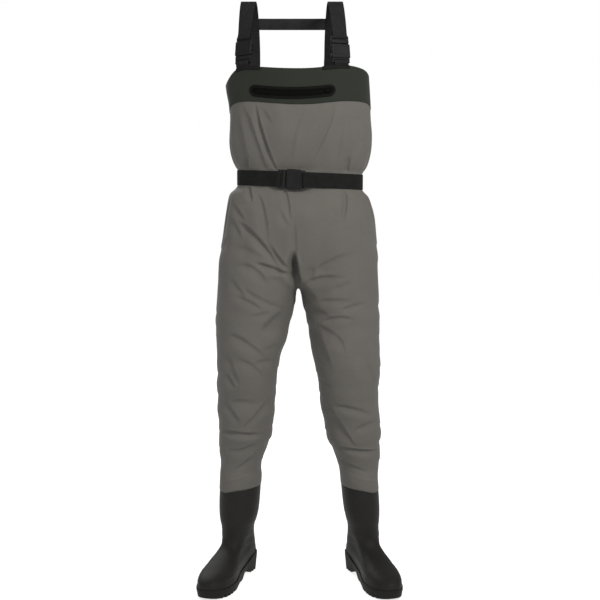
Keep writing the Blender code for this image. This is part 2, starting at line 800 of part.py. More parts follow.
def build_plug(name, parent):
    """The male half: a thick base with an eye for the webbing, and arms that reach into the socket."""
    half, deep = EYE_HALF, PLUG_THICK / 2
    eye_end = -PLUG_MOUTH_GAP - PLUG_BASE
    body_end = -PLUG_MOUTH_GAP - PLUG_BODY
    work = bevelled_box((-half, -deep, body_end), (half, deep, -PLUG_MOUTH_GAP), PLUG_BEVEL)
    plug = make_object(name, work, "buckle_plastic", parent)
    outline = plug_arms()
    arms = loft(
        [[Vector((x, y, z)) for x, z in outline] for y in (-ARM_HALF_THICK, ARM_HALF_THICK)],
        cap_low=True,
        cap_high=True,
    )
    bmesh.ops.recalc_face_normals(arms, faces=arms.faces)
    combine(plug, "_arms", arms, "UNION")
    rise = PLUG_EYE_THICK / 2
    combine(plug, "_eye", box_bmesh((-half, -rise, eye_end), (half, rise, body_end + EYE_ROOT)), "UNION")
    low, high = eye_end + BAR, eye_end + BAR + SLOT
    slot = box_bmesh((-SLOT_HALF, -PLUG_THICK, low), (SLOT_HALF, PLUG_THICK, high))
    combine(plug, "_slot", slot, "DIFFERENCE")


def loop_points(bar_z, away):
    """Webbing round a bar, as (out, along) pairs from the rear layer to the front layer; away is the way
    that both layers leave the buckle."""
    points = [(-LOOP_RADIUS, bar_z + away * LOOP_STRAIGHT)]
    for k in range(LOOP_STEPS + 1):
        turn = math.pi * (k / LOOP_STEPS)
        points.append((-LOOP_RADIUS * math.cos(turn), bar_z - away * LOOP_RADIUS * math.sin(turn)))
    points.append((LOOP_RADIUS, bar_z + away * LOOP_STRAIGHT))
    return points


def strap_lead(bar_z, away):
    """A strap's loop with the leads of its two layers, which close up beyond the bar."""
    (rear_out, rear_along), (front_out, front_along) = STRAP_LEAD_REAR, STRAP_LEAD_FRONT
    rear = [
        (-WEBBING - SEAT_GAP, bar_z + away * STRAP_LEAD),
        (-LOOP_RADIUS * rear_out, bar_z + away * rear_along),
    ]
    front = [(LOOP_RADIUS * front_out, bar_z + away * front_along)]
    return rear + loop_points(bar_z, away) + front


def bar_of(half):
    """Where a buckle half's bar lies along the webbing, and which way its webbing leaves."""
    return (SOCKET_BAR_Z, 1) if half == "socket" else (PLUG_BAR_Z, -1)


def webbing_loop(place, half, shape=loop_points):
    """A webbing loop in the frame of a buckle, as (centre, across) pairs ending on the front layer."""
    across = place.to_3x3() @ Vector((1, 0, 0))
    return [(place @ Vector((0.0, out, along)), across) for out, along in shape(*bar_of(half))]


def buckle_place(side, upper):
    """The frame of a strap's buckle over the bib's top edge; upper is the half that the strap holds."""
    angle, rim = strap_angle(side)
    cloth = trunk_frame(angle, rim, -CLOTH_WALL - TAB_HOLLOW - WEBBING)
    up = Vector((-SIDES[side] * BUCKLE_LEAN_IN, BUCKLE_LEAN_BACK, 1.0)).normalized()
    out = cloth.to_3x3() @ Vector((0, 1, 0))
    out = (out - up * out.dot(up)).normalized()
    frame = Matrix.Translation(cloth.translation) @ Matrix((out.cross(up), out, up)).transposed().to_4x4()
    centre = (SOCKET_BAR_Z + PLUG_BAR_Z) / 2
    lift = Matrix.Translation((0.0, 0.0, BUCKLE_OFF_RIM[side] + (SOCKET_BAR_Z - PLUG_BAR_Z) / 2))
    turn = Matrix.Identity(4) if upper == "socket" else Matrix.Rotation(math.pi, 4, "Y")
    return frame @ lift @ turn @ Matrix.Translation((0.0, 0.0, -centre))


def strap_angle(side):
    """The trunk angle of a strap in front, and the height of the bib's edge there."""
    angle = trunk_angle_at(STRAP_CENTRE + SIDES[side] * STRAP_FRONT_REACH, STRAP_RIM_Z)
    return angle, yoke_z(angle, YOKE_STEPS)


def strap_halves(side):
    """The buckle half that the shoulder strap holds, and the one on the bib's tab."""
    return ("socket", "plug") if side == "right" else ("plug", "socket")


def shoulder_curve(place, upper, path, top_x):
    """The strap's rise from its buckle to the top of the shoulder, on one smooth curve."""
    top = Vector((top_x, STRAP_OVER[0].y, STRAP_OVER[0].z))
    start, across = path[-1]
    rise = place.to_3x3() @ Vector((0, 0, bar_of(upper)[1])) * STRAP_FRONT_PULL[0]
    run = Vector((0, STRAP_FRONT_PULL[1], 0))
    over = Vector((math.copysign(1.0, across.x), 0, 0))
    curve = []
    for k in range(1, STRAP_FRONT_STEPS + 1):
        t = k / (STRAP_FRONT_STEPS + 1)
        square, cube = t * t, t**3
        point = start * (2 * cube - 3 * square + 1) + rise * (cube - 2 * square + t)
        point += top * (3 * square - 2 * cube) + run * (cube - square)
        curve.append((point, across.lerp(over, smooth01(t))))
    return curve


def strap_path(side):
    """The webbing of a shoulder strap: round the buckle's bar, over the shoulder and down the bib's back."""
    upper, _ = strap_halves(side)
    sign = SIDES[side]
    place = buckle_place(side, upper)
    path = webbing_loop(place, upper, strap_lead)
    path += shoulder_curve(place, upper, path, STRAP_CENTRE + sign * STRAP_OVER[0].reach)
    for row in STRAP_OVER:
        turn = math.radians(row.turn) * sign
        across = Vector((math.cos(turn), math.sin(turn), 0.0))
        path.append((Vector((STRAP_CENTRE + sign * row.reach, row.y, row.z)), path_across(path, across)))
    angle = (180.0 - trunk_angle_at(path[-1][0].x, STRAP_RIM_Z)) % 360.0
    grow = GAP + YOKE_WALL + SEAT_GAP + WEBBING / 2
    rim = yoke_z(angle, YOKE_STEPS)
    for drop in STRAP_BACK_DROPS:
        lap = trunk_frame(signed_angle(angle), rim - drop, grow)
        path.append((lap.translation, path_across(path, lap.to_3x3() @ Vector((1, 0, 0)))))
    return path


def build_strap(side, parent):
    """One shoulder strap with its buckle, and the tab that holds the buckle to the bib."""
    upper, lower = strap_halves(side)
    place = buckle_place(side, upper)
    empty = make_empty(f"strap_buckle_place_{side}", parent, place)
    build_socket(f"strap_buckle_socket_{side}", empty)
    build_plug(f"strap_buckle_plug_{side}", empty)
    make_object(f"shoulder_strap_{side}", ribbon(strap_path(side), STRAP_WIDTH, WEBBING), "webbing", parent)

    loop = webbing_loop(place, lower)
    front = -CLOTH_WALL - TAB_HOLLOW - WEBBING / 2
    rear = front - WEBBING - SEAT_GAP
    path = tab_layer(side, loop, rear)[::-1] + loop + tab_layer(side, loop, front)
    make_object(f"strap_tab_{side}", ribbon(path, STRAP_WIDTH, WEBBING), "webbing", parent)


def tab_layer(side, loop, grow):
    """One layer of a strap's tab inside the bib, from its edge downwards."""
    angle, rim = strap_angle(side)
    layer = []
    for drop in (0.0, TAB_LAP / 2, TAB_LAP):
        lap = trunk_frame(angle, rim - drop, grow)
        layer.append((lap.translation, path_across(loop, lap.to_3x3() @ Vector((1, 0, 0)))))
    return layer


def path_across(path, across):
    """The across direction, kept on the same side as the path's last one."""
    return across if across.dot(path[-1][1]) > 0 else -across


def build_crossbar(parent):
    """The band that ties the two straps together behind the shoulders, sewn on their outer faces."""
    row = len(strap_lead(*bar_of("socket"))) + STRAP_FRONT_STEPS + CROSSBAR_ROW
    reach = STRAP_WIDTH / 2 - CROSSBAR_INSET
    ends = []
    for side in SIDES:
        path = strap_path(side)
        centre = (path[row][0] + path[row - 1][0]) / 2
        along = (path[row - 1][0] - path[row][0]).normalized()
        across = ribbon_axes(path, row)[1] + ribbon_axes(path, row - 1)[1]
        across *= math.copysign(1.0, across.x)
        across = (across - along * across.dot(along)).normalized()
        out = along.cross(across)
        centre += out * math.copysign(WEBBING + 2 * SEAT_GAP, out.y)
        ends.append([(centre + across * reach * share, along) for share in (-1, 0, 1)])
    left, right = ends[0][-1], ends[1][0]
    bridge = [(left[0].lerp(right[0], share), left[1].lerp(right[1], share)) for share in (0.25, 0.5, 0.75)]
    work = ribbon(ends[0] + bridge + ends[1], CROSSBAR_WIDTH, WEBBING)
    make_object("back_crossbar", work, "webbing", parent)


def belt_layer(start, reach, grow):
    """Points of the belt in front, from near a buckle's bar outwards to a reach from it."""
    layer = []
    for share in BELT_LAP_SHARES:
        angle = trunk_angle_at(start + reach * share, BELT_Z)
        layer.append((trunk_point(angle, BELT_Z, grow), Vector((0, 0, 1))))
    return layer


def build_belt(parent):
    """The wading belt: a buckle in front and one length of webbing from its bar round to the other bar."""
    angle = trunk_angle_at(BELT_BUCKLE_X, BELT_Z)
    frame = trunk_frame(angle, BELT_Z, BELT_BUCKLE_OFF + SOCKET_THICK / 2)
    lie = Matrix.Rotation(-math.pi / 2, 4, "Y")
    centre = (SOCKET_BAR_Z + PLUG_BAR_Z) / 2
    place = frame @ lie @ Matrix.Translation((0.0, 0.0, -centre))
    empty = make_empty("belt_buckle_place", parent, place)
    build_socket("belt_buckle_socket", empty)
    build_plug("belt_buckle_plug", empty)

    rear = GAP + WEBBING / 2
    front = rear + WEBBING + SEAT_GAP
    layers = {}
    for half, sign in (("socket", 1), ("plug", -1)):
        loop = [(point, across * math.copysign(1.0, across.z)) for point, across in webbing_loop(place, half)]
        start = (loop[0][0].x + loop[-1][0].x) / 2
        inner = belt_layer(start, sign * BELT_LAP, rear)
        outer = belt_layer(start, sign * BELT_LAP * BELT_LAP_STAGGER, front)
        layers[half] = inner[::-1] + loop + outer
    left, right = layers["plug"][-1][0].x, layers["socket"][-1][0].x
    round_back = []
    for column in column_angles():
        point = trunk_point(signed_angle(column), BELT_Z, rear)
        if abs(signed_angle(column)) > 89.0 or not left - BELT_LAP_CLEAR < point.x < right + BELT_LAP_CLEAR:
            round_back.append((point, Vector((0, 0, 1))))
    path = layers["socket"] + round_back + layers["plug"][::-1]
    work = ribbon(path, BELT_WIDTH, WEBBING)
    make_object("wading_belt", work, "webbing", parent)


# Boots


def seat_z(length):
    """Height of the sole's seat under the foot, by length from the back of the sole."""
    heel_to_ball = clamp01((length - SEAT_HEEL_END) / (SEAT_BALL - SEAT_HEEL_END))
    ball_to_toe = smooth01((length - TOE_SEAT_FROM) / TOE_SEAT_RUN)
    return HEEL_SEAT + (BALL_SEAT - HEEL_SEAT) * heel_to_ball + (TOE_SEAT - BALL_SEAT) * ball_to_toe


def boot_plan(angle, height, grow):
    """A slice's point as (length, across): across is positive on the outer side of the foot. Between the
    upper's columns the outline runs straight, as the upper's faces do."""
    column = math.floor(angle / LEG_STEP + 1e-6)
    share = angle / LEG_STEP - column
    if share > 1e-6:
        here = boot_plan(column * LEG_STEP, height, grow)
        beyond = boot_plan((column + 1) * LEG_STEP, height, grow)
        return tuple(a + (b - a) * share for a, b in zip(here, beyond))
    turned = math.radians(column * LEG_STEP)
    sine, cosine = math.sin(turned), math.cos(turned)
    row = {name: straight(BOOT_SLICES, height, name) for name in SliceRow._fields}
    back, front = row["back"] - grow, row["front"] + grow
    heel_half, ball_half = row["heel_half"] + grow, row["ball_half"] + grow
    ball, heel = row["ball_line"], row["heel_line"]
    if sine >= 0.0:
        power = 2.0 / (TOE_POWER if ball > heel else 2.0)
        length = ball + (front - ball) * sine**power
        return length, ball_half * signed_power(cosine, power)
    length = ball + (ball - back) * sine
    if length < heel:
        half = heel_half * math.sqrt(max(0.0, 1.0 - ((heel - length) / (heel - back)) ** 2))
    else:
        share = (length - heel) / max(ball - heel, 1e-6)
        arch = INNER_ARCH if cosine < 0.0 else OUTER_ARCH
        half = heel_half + (ball_half - heel_half) * smooth01(share)
        half -= row["waist"] * arch * 4.0 * share * (1.0 - share)
    return length, math.copysign(half, cosine) if abs(cosine) > 1e-9 else 0.0


def boot_point(side, angle, height, grow=0.0):
    """A point of the boot upper's outside in the boot's own frame, whose origin is under the shaft."""
    length, across = boot_plan(angle, height, grow)
    low = 1.0 - smooth01(height / SEAT_FADE)
    z = height + seat_z(length) * low + HEEL_SEAT * (1.0 - low)
    across -= TOE_SKEW * low * smooth01((length - TOE_SKEW_FROM) / TOE_SKEW_RUN)
    up_shaft = max(0.0, z - SHAFT_LEAN_FROM)
    spread = SHAFT_SPREAD[side] / BOOT_SLICES[-1].ball_half
    across *= 1.0 + spread * smooth01(up_shaft / SHAFT_SPREAD_RUN)
    across -= SHAFT_LEAN[side] * up_shaft
    return Vector((SIDES[side] * across, SHAFT_AXIS - length, z))


def boot_matrix(side):
    """The boot's place on the floor, with its toe turned out."""
    sign = SIDES[side]
    place = Matrix.Translation((BOOT_MIDDLE + sign * BOOT_X, BOOT_Y, 0.0))
    return place @ Matrix.Rotation(sign * TOE_OUT[side], 4, "Z")


def build_upper(side, parent):
    rings = [[boot_point(side, a, row.height) for a in leg_angles(side)] for row in BOOT_SLICES]
    upper = make_object(f"boot_upper_{side}", loft(rings), "boot_rubber", parent)
    thicken(upper, BOOT_WALL)


def sole_angles(side):
    """Angles round the sole, paired across it, counter-clockwise from above."""
    outer = list(SOLE_STATIONS)
    inner = [180.0 - angle for angle in SOLE_STATIONS]
    loop = [-90.0] + outer + [90.0] + list(reversed(inner))
    return loop if side == "left" else list(reversed(loop))


def tread_z(length):
    """Height of the tread over the floor: heel, arch, forefoot and the spring of the toe."""
    if length < HEEL_BREAST:
        return 0.0
    if length < ARCH_FRONT:
        return ARCH_RISE * (1.0 - smooth01((length - ARCH_FALL_FROM) / (ARCH_FRONT - ARCH_FALL_FROM)))
    rise = clamp01((length - TOE_SPRING_FROM) / (SOLE_LENGTH - TOE_SPRING_FROM))
    return TOE_SPRING * rise * rise


def sole_ring(side, grow, height_of, level_of):
    """A ring of the sole: height_of gives its slice by length, and level_of its level by length and z."""
    ring = []
    for angle in sole_angles(side):
        length, _ = boot_plan(angle, 0.0, grow)
        point = boot_point(side, angle, height_of(length), grow)
        length = SHAFT_AXIS - point.y
        point.z = level_of(length, point.z)
        ring.append(point)
    return ring


def strip_cap(work, ring, upwards):
    """Closes a sole ring with strips straight across the foot."""
    tip = next(k for k, vert in enumerate(ring) if vert.co.y == min(v.co.y for v in ring))
    count = len(ring)
    ordered = ring[tip:] + ring[:tip]
    for k in range(count // 2):
        a, b = ordered[k], ordered[k + 1]
        c, d = ordered[count - k - 1], ordered[(count - k) % count]
        corners = [a, b, c, d]
        face = [vert for i, vert in enumerate(corners) if vert not in corners[:i]]
        work.faces.new(face if upwards else list(reversed(face)))


def groove_prism(work, length, chevron, top):
    """A groove of the tread across the whole sole, swept back to its sides."""
    half = GROOVE_WIDTH / 2
    back = chevron * GROOVE_REACH
    plan = [
        (length + half, 0.0),
        (length + half - back, GROOVE_REACH),
        (length - half - back, GROOVE_REACH),
        (length - half, 0.0),
        (length - half - back, -GROOVE_REACH),
        (length + half - back, -GROOVE_REACH),
    ]
    rings = []
    for z in (GROOVE_BELOW, top):
        rings.append(add_ring(work, [Vector((across, SHAFT_AXIS - u, z)) for u, across in plan]))
    made = [work.faces.new(list(reversed(rings[0]))), work.faces.new(rings[1])]
    for k in range(len(plan)):
        after = (k + 1) % len(plan)
        made.append(work.faces.new((rings[0][k], rings[0][after], rings[1][after], rings[1][k])))
    bmesh.ops.recalc_face_normals(work, faces=made)


def build_sole(side, parent):
    """The cleated sole: a cup with a wall round the upper, a heel, and grooves across its tread."""

    def rim(length):
        return curved(SOLE_RIM, clamp01(length / SOLE_LENGTH) * SOLE_LENGTH, "rise")

    def knee(length):
        return min(RIM_KNEE, rim(length) * RIM_STEP)

    levels = (
        (SOLE_GROW - TREAD_INSET, lambda u: 0.0, lambda u, z: tread_z(u)),
        (SOLE_GROW - SIDE_STEP_INSET, lambda u: 0.0, lambda u, z: tread_z(u) + SIDE_STEP_RISE),
        (SOLE_GROW + WELT_GROW, lambda u: 0.0, lambda u, z: seat_z(u) - WELT_DROP),
        (SOLE_WALL + SEAT_GAP, knee, lambda u, z: z),
        (SOLE_WALL * SOLE_WALL_TAPER + RIM_GAP, rim, lambda u, z: z),
        (RIM_GAP, rim, lambda u, z: z),
        (SEAT_GAP, knee, lambda u, z: z),
        (SEAT_GAP, lambda u: 0.0, lambda u, z: z - SEAT_GAP),
    )
    work = bmesh.new()
    rings = [add_ring(work, sole_ring(side, *level)) for level in levels]
    for lower, upper in zip(rings, rings[1:]):
        join_rings(work, lower, upper)
    strip_cap(work, rings[0], False)
    strip_cap(work, rings[-1], True)
    bmesh.ops.recalc_face_normals(work, faces=work.faces)
    sole = make_object(f"outsole_{side}", work, "sole_rubber", parent)

    work = bmesh.new()
    for length in FOREFOOT_GROOVES:
        groove_prism(work, length, GROOVE_CHEVRON, tread_z(length) + TREAD_DEPTH)
    for length in HEEL_GROOVES:
        groove_prism(work, length, 0.0, TREAD_DEPTH)
    combine(sole, "_grooves", work, "DIFFERENCE")


def build_insole(side, parent):
    """A flat footbed inside the upper, on the sole's seat."""
    inset = -(BOOT_WALL + SEAT_GAP + INSOLE_CLEAR)
    rings = []
    for lift in (GAP, GAP + INSOLE_THICK):
        rings.append(sole_ring(side, inset, lambda u: 0.0, lambda u, z, up=lift: seat_z(u) + up))
    work = bmesh.new()
    low, high = (add_ring(work, ring) for ring in rings)
    join_rings(work, low, high)
    strip_cap(work, low, False)
    strip_cap(work, high, True)
    bmesh.ops.recalc_face_normals(work, faces=work.faces)
    make_object(f"insole_{side}", work, "insole_felt", parent)


def build_boot(side, parent):
    empty = make_empty(f"boot_place_{side}", parent, boot_matrix(side))
    build_upper(side, empty)
    build_sole(side, empty)
    build_insole(side, empty)


def centre_over_origin(root):
    """Moves the whole garment so that the middle of its box stands over the origin."""
    bpy.context.view_layer.update()
    graph = bpy.context.evaluated_depsgraph_get()
    points = []
    for thing in bpy.context.scene.objects:
        if thing.type == "MESH" and not thing.hide_render:
            solid = thing.evaluated_get(graph)
            points += [solid.matrix_world @ vert.co for vert in solid.data.vertices]
    for axis in (0, 1):
        values = [point[axis] for point in points]
        root.location[axis] = -(min(values) + max(values)) / 2


def main():
    clear_scene()
    root = make_empty("waders")
    build_trunk(root)
    build_yoke(root)
    build_pocket(root)
    build_belt(root)
    for side in SIDES:
        build_leg(side, root)
        build_strap(side, root)
        build_boot(side, root)
    build_crossbar(root)
    centre_over_origin(root)


main()
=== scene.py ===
"""The look of the chest waders: creased cloth, a darker yoke with a zipped pocket, webbing with side-release
buckles, and rubber boots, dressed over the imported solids. Metres, +Z up, the wearer faces -Y."""

import math
from collections import namedtuple

import bmesh
import bpy
import numpy as np
from mathutils import Matrix, Vector, noise
from mathutils.bvhtree import BVHTree


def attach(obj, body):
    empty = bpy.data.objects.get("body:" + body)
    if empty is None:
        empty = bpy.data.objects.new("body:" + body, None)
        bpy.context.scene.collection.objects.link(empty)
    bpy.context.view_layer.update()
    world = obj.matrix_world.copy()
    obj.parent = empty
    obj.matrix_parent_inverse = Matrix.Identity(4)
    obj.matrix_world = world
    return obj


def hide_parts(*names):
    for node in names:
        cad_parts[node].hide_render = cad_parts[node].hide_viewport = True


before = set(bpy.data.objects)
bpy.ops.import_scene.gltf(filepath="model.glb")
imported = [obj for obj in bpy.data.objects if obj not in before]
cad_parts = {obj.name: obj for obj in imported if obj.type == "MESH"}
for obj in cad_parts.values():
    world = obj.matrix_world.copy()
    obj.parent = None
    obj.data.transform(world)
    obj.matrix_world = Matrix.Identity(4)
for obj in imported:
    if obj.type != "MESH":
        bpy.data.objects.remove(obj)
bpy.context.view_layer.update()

# Camera, from the photograph's frame of 600 by 600
CAMERA_PLACE = (0.0008, -2.9515, 1.05)
CAMERA_DIP = 5.4
FOCAL_PIXELS = 1105.0
PHOTO_PIXELS = 600.0
SENSOR = 36.0

# Studio: each lamp's place, size across and power
ROOM_LIGHT = 0.45
LAMP_AIM = (0.0, 0.0, 0.85)
LAMPS = [
    ("key_lamp", (1.30, -2.00, 2.45), 0.9, 44.0),
    ("fill_lamp", (-2.6, -2.8, 2.5), 2.4, 18.0),
    ("back_lamp", (-1.6, 3.2, 3.0), 1.6, 60.0),
]
FLOOR_SIZE = 16.0
FLOOR_COLOUR = (0.60, 0.60, 0.60)
FLOOR_GLOW = 0.75
WHITE = (1.0, 1.0, 1.0, 1.0)

# Garment sizes that the creases need
MILLIMETRE = 0.001
CLOTH_WALL = 0.0012
YOKE_WALL = 0.0010
YOKE_LIFT = 0.0003
BELT_Z = 1.0915
BELT_TILT = 0.037
BELT_HALF = 0.020
HEM_TOP = 0.285
POCKET_PLACE = (-0.0187, 1.3165)
POCKET_REACH = (0.112, 0.020)
EDGE_TOP = 1.372
LEG_TOP = 0.800
TRUNK_Y = 0.0485
SIDES = {"right": -1, "left": 1}

# Where cloth is held: the distances over which it comes free, and how free it stays at the bib's top edge
BELT_EASE = 0.007
POCKET_EASE = 0.016
EDGE_EASE = 0.05
EDGE_FREE = 0.25
HEM_EASE = 0.05

# Axes and radii that the cloth's UV map goes round
TRUNK_AXIS_X = -0.002
TRUNK_RADIUS = 0.16
LEG_AXIS_X = 0.14
LEG_RADIUS = 0.09

# Working of meshes: the distance that joins corners, the angles below which faces are joined into quads,
# count as one wall, count as flat, and are left without a rounded edge or shaded as smooth, how strongly
# quads keep to rows, the slopes that tell upright faces and what looks forwards, the levels of subdivision,
# and the rounds of holding a form
CORNER_MERGE = 1e-6
QUAD_ANGLE = math.radians(60)
QUAD_ORDER = 1.5
WALL_ANGLE = math.radians(60)
FLAT_ANGLE = math.radians(1)
ROUND_ANGLE = math.radians(32)
SMOOTH_ANGLE = math.radians(40)
BAND_ANGLE = math.radians(50)
UPRIGHT_SLOPE = 0.5
FORWARD_EDGE = -0.2
FORWARD_FACE = -0.7
FINE_LEVELS = 3
HOLD_LEVELS = 2
HOLD_ROUNDS = 2

# Cloth panels, the rows of the trunk's faces that the yoke covers, and the sizes that panels were cut to: the
# widest girth by the height, with seam allowances
CLOTH_NODES = ("cloth_trunk", "cloth_leg_right", "cloth_leg_left")
TRUNK_PANEL = 0
YOKE_PANEL = len(CLOTH_NODES)
YOKE_ROWS = 3
YOKE_CUT = {"flat": (1.02, 0.16), "area": 0.113}
LINING_CUT = {"flat": (1.44, 1.16), "area": 1.06}

# Seams: the distance within which the panels' edges are sewn up
SEAM_MERGE = 0.0036

# Lining: its slack, how much wider it takes the folds, the heights where it meets the cloth, and the distance
# over which it comes loose
LINING_SLACK = 0.0040
LINING_SPREAD = 1.8
LINING_LOW = 0.300
LINING_HIGH = 1.365
LINING_EASE = 0.050

# Closed zip: its line's middle, sag and reach, where its teeth start and end, the step from tooth to tooth, a
# tooth's size, and how far teeth are set up and down in turn
ZIP_MIDDLE = (-0.0187, 1.3225)
ZIP_SAG = 0.0095
ZIP_REACH = 0.1105
ZIP_ENDS = (-0.1080, 0.0580)
ZIP_PITCH = 0.0022
ZIP_TOOTH = (0.0013, 0.0012, 0.0038)
ZIP_STAGGER = 0.0005

# Ridges of the weave: a wave texture's scale for one ridge per metre, and the pitches of the webbing's ribs
# and threads
ONE_RIDGE = math.pi / 10.0
RIB_PITCH = 0.00165
THREAD_PITCH = 0.00262

# Webbing: the shares of half width and half thickness round a band's section, the strips at the straps' feet
# with their ends across the bib, their size and the share of their width that they are set down by, the step
# along a band, and the gap that parts the crossbar's sections
BAND_PROFILE = [
    (-1.0, -0.3), (-0.985, -0.8), (-0.94, -1.0), (-0.45, -1.0), (0.0, -1.0), (0.45, -1.0),
    (0.94, -1.0), (0.985, -0.8), (1.0, -0.3), (1.0, 0.3), (0.985, 0.8), (0.94, 1.0),
    (0.45, 1.0), (0.0, 1.0), (-0.45, 1.0), (-0.94, 1.0), (-0.985, 0.8), (-1.0, 0.3),
]
STRAP_BASES = {"right": (-0.1650, -0.0995), "left": (0.0580, 0.1310)}
STRAP_BASE_WIDTH = 0.0095
STRAP_BASE_WALL = 0.0020
STRAP_BASE_DROP = 0.4
BAND_STEP = 0.0035
BAR_STEP = 0.005

# Rounded edges of the hard pieces, and the panels pressed into the buckles
BUCKLE_INSETS = {"socket": 0.0045, "plug": 0.0028}
BUCKLE_PRESS = 0.0006
BUCKLE_EDGE = 0.0007
POCKET_EDGES = {"pocket_window_frame": 0.0005, "pocket_zip": 0.0002, "pocket_zip_slider": 0.0005}
SOLE_EDGE = 0.0007
INSOLE_EDGE = 0.0008

# Sewing on the webbing: a stitch's length, width and height, the step between stitches, and the box of them
# over a band's end
STITCH = (0.0032, 0.0009, 0.0008)
STITCH_STEP = 0.0042
STITCH_INSET = 0.0035
STITCH_BOX = 0.030

# Shape of a fold: the shares of its half width on its steep and its soft side, the size of the ridges beside
# its trough, how many half widths away it ends, the steps of its curve, how far it runs on past its ends, how
# much of its length each end takes to fade out, and the width that is left there. Where folds are deeper than
# the last value, the cloth needs finer faces.
FOLD_STEEP = 0.66
FOLD_SOFT = 2.30
FOLD_RIDGE = 0.6
FOLD_REACH = 4.5
FOLD_STEPS = 24
FOLD_LEAD = 0.14
FOLD_TAPER = 0.36
FOLD_END_WIDTH = 0.60
FOLD_REFINE = 0.0006

# Where folds of the front, the back and the sides give way to each other: the slope of the surface where a
# fold starts to show, and the change of slope over which it comes up
FRONT_SLOPE = 0.15
FRONT_FADE = 0.5
SIDE_SLOPE = 0.5
SIDE_FADE = 0.4

# Swell of slack cloth: ripples per metre along and across the run of the cloth and their height, slower ones
# and theirs, and the height where the ripples turn upright with the distance that this takes
SWELL_RUN = 7.0
SWELL_ACROSS = 27.0
SWELL_RIPPLE = 0.0032
SWELL_SLOW = 11.0
SWELL_HEIGHT = 0.0022
SWELL_TURN = (0.72, 0.24)

# Folds: a curve through three points in millimetres, then half width and depth in millimetres. Those of the
# front and the back are by (across, height), and those of the sides by (front to back, height).
Fold = namedtuple("Fold", "start middle end width depth")
BIB_FOLDS = [
    Fold((-113, 1277), (-93, 1198), (-60, 1115), 4.2, 7.1),
    Fold((-146, 1276), (-122, 1213), (-92, 1123), 7.0, 3.8),
    Fold((-162, 1250), (-151, 1192), (-134, 1115), 8.0, 4.3),
    Fold((-97, 1273), (-86, 1254), (-74, 1235), 6.0, 1.9),
    Fold((11, 1273), (-13, 1213), (-23, 1135), 9.0, 2.8),
    Fold((88, 1276), (68, 1213), (19, 1120), 6.5, 4.0),
    Fold((117, 1261), (106, 1204), (94, 1135), 10.0, 2.6),
    Fold((146, 1273), (156, 1215), (149, 1158), 8.0, 3.6),
    Fold((133, 1152), (128, 1126), (125, 1106), 4.5, 5.0),
    Fold((-134, 1152), (-137, 1129), (-134, 1113), 4.5, 4.7),
]
HIP_FOLDS = [
    Fold((-134, 1078), (-131, 1059), (-126, 1033), 4.5, 5.0),
    Fold((-41, 1067), (-31, 1037), (-26, 986), 4.0, 5.0),
    Fold((-47, 1008), (-41, 989), (-26, 967), 5.0, 2.1),
    Fold((117, 1062), (123, 1033), (113, 977), 5.0, 5.7),
    Fold((160, 1056), (154, 1040), (164, 1015), 6.0, 2.6),
    Fold((100, 1018), (86, 986), (64, 951), 11.0, 2.6),
    Fold((-112, 1056), (-95, 1005), (-85, 935), 7.5, 3.8),
    Fold((-180, 1033), (-163, 1008), (-147, 983), 6.0, 4.0),
    Fold((-183, 992), (-169, 967), (-155, 939), 6.0, 4.0),
]
FORK_FOLDS = [
    Fold((-14, 985), (-11, 905), (-9, 846), 5.0, 3.3),
    Fold((-14, 896), (-8, 853), (-2, 812), 7.5, 30.0),
    Fold((-46, 853), (-25, 845), (-4, 838), 5.0, 4.4),
    Fold((-165, 981), (-109, 935), (-57, 860), 6.0, 7.1),
    Fold((-82, 925), (-57, 887), (-19, 847), 6.0, 5.5),
    Fold((-119, 873), (-71, 860), (-20, 836), 5.5, 6.7),
    Fold((-177, 913), (-129, 903), (-84, 874), 9.0, 2.6),
    Fold((-164, 865), (-122, 858), (-87, 818), 7.5, 4.3),
    Fold((-84, 829), (-52, 831), (-20, 826), 7.0, 3.1),
    Fold((13, 815), (53, 833), (111, 836), 6.0, 5.9),
    Fold((47, 849), (76, 874), (146, 900), 9.0, 3.6),
    Fold((37, 861), (31, 842), (20, 821), 8.0, 4.0),
    Fold((5, 807), (21, 791), (44, 772), 9.0, 3.8),
]
THIGH_FOLDS = [
    Fold((-182, 827), (-165, 806), (-144, 782), 6.0, 3.1),
    Fold((-175, 784), (-139, 774), (-101, 751), 5.0, 4.7),
    Fold((-146, 806), (-107, 780), (-43, 751), 5.0, 3.8),
    Fold((-127, 733), (-104, 737), (-78, 743), 6.0, 2.4),
    Fold((-96, 690), (-74, 712), (-44, 742), 15.0, 6.5),
    Fold((-185, 680), (-162, 677), (-137, 667), 6.0, 2.4),
    Fold((52, 771), (89, 775), (133, 774), 5.0, 4.5),
    Fold((86, 805), (111, 813), (137, 824), 7.0, 3.1),
    Fold((110, 750), (137, 759), (171, 765), 5.0, 3.8),
    Fold((62, 717), (96, 729), (139, 726), 5.0, 4.3),
    Fold((28, 753), (51, 743), (73, 737), 7.0, 3.1),
    Fold((47, 706), (70, 694), (93, 681), 8.0, 3.3),
]
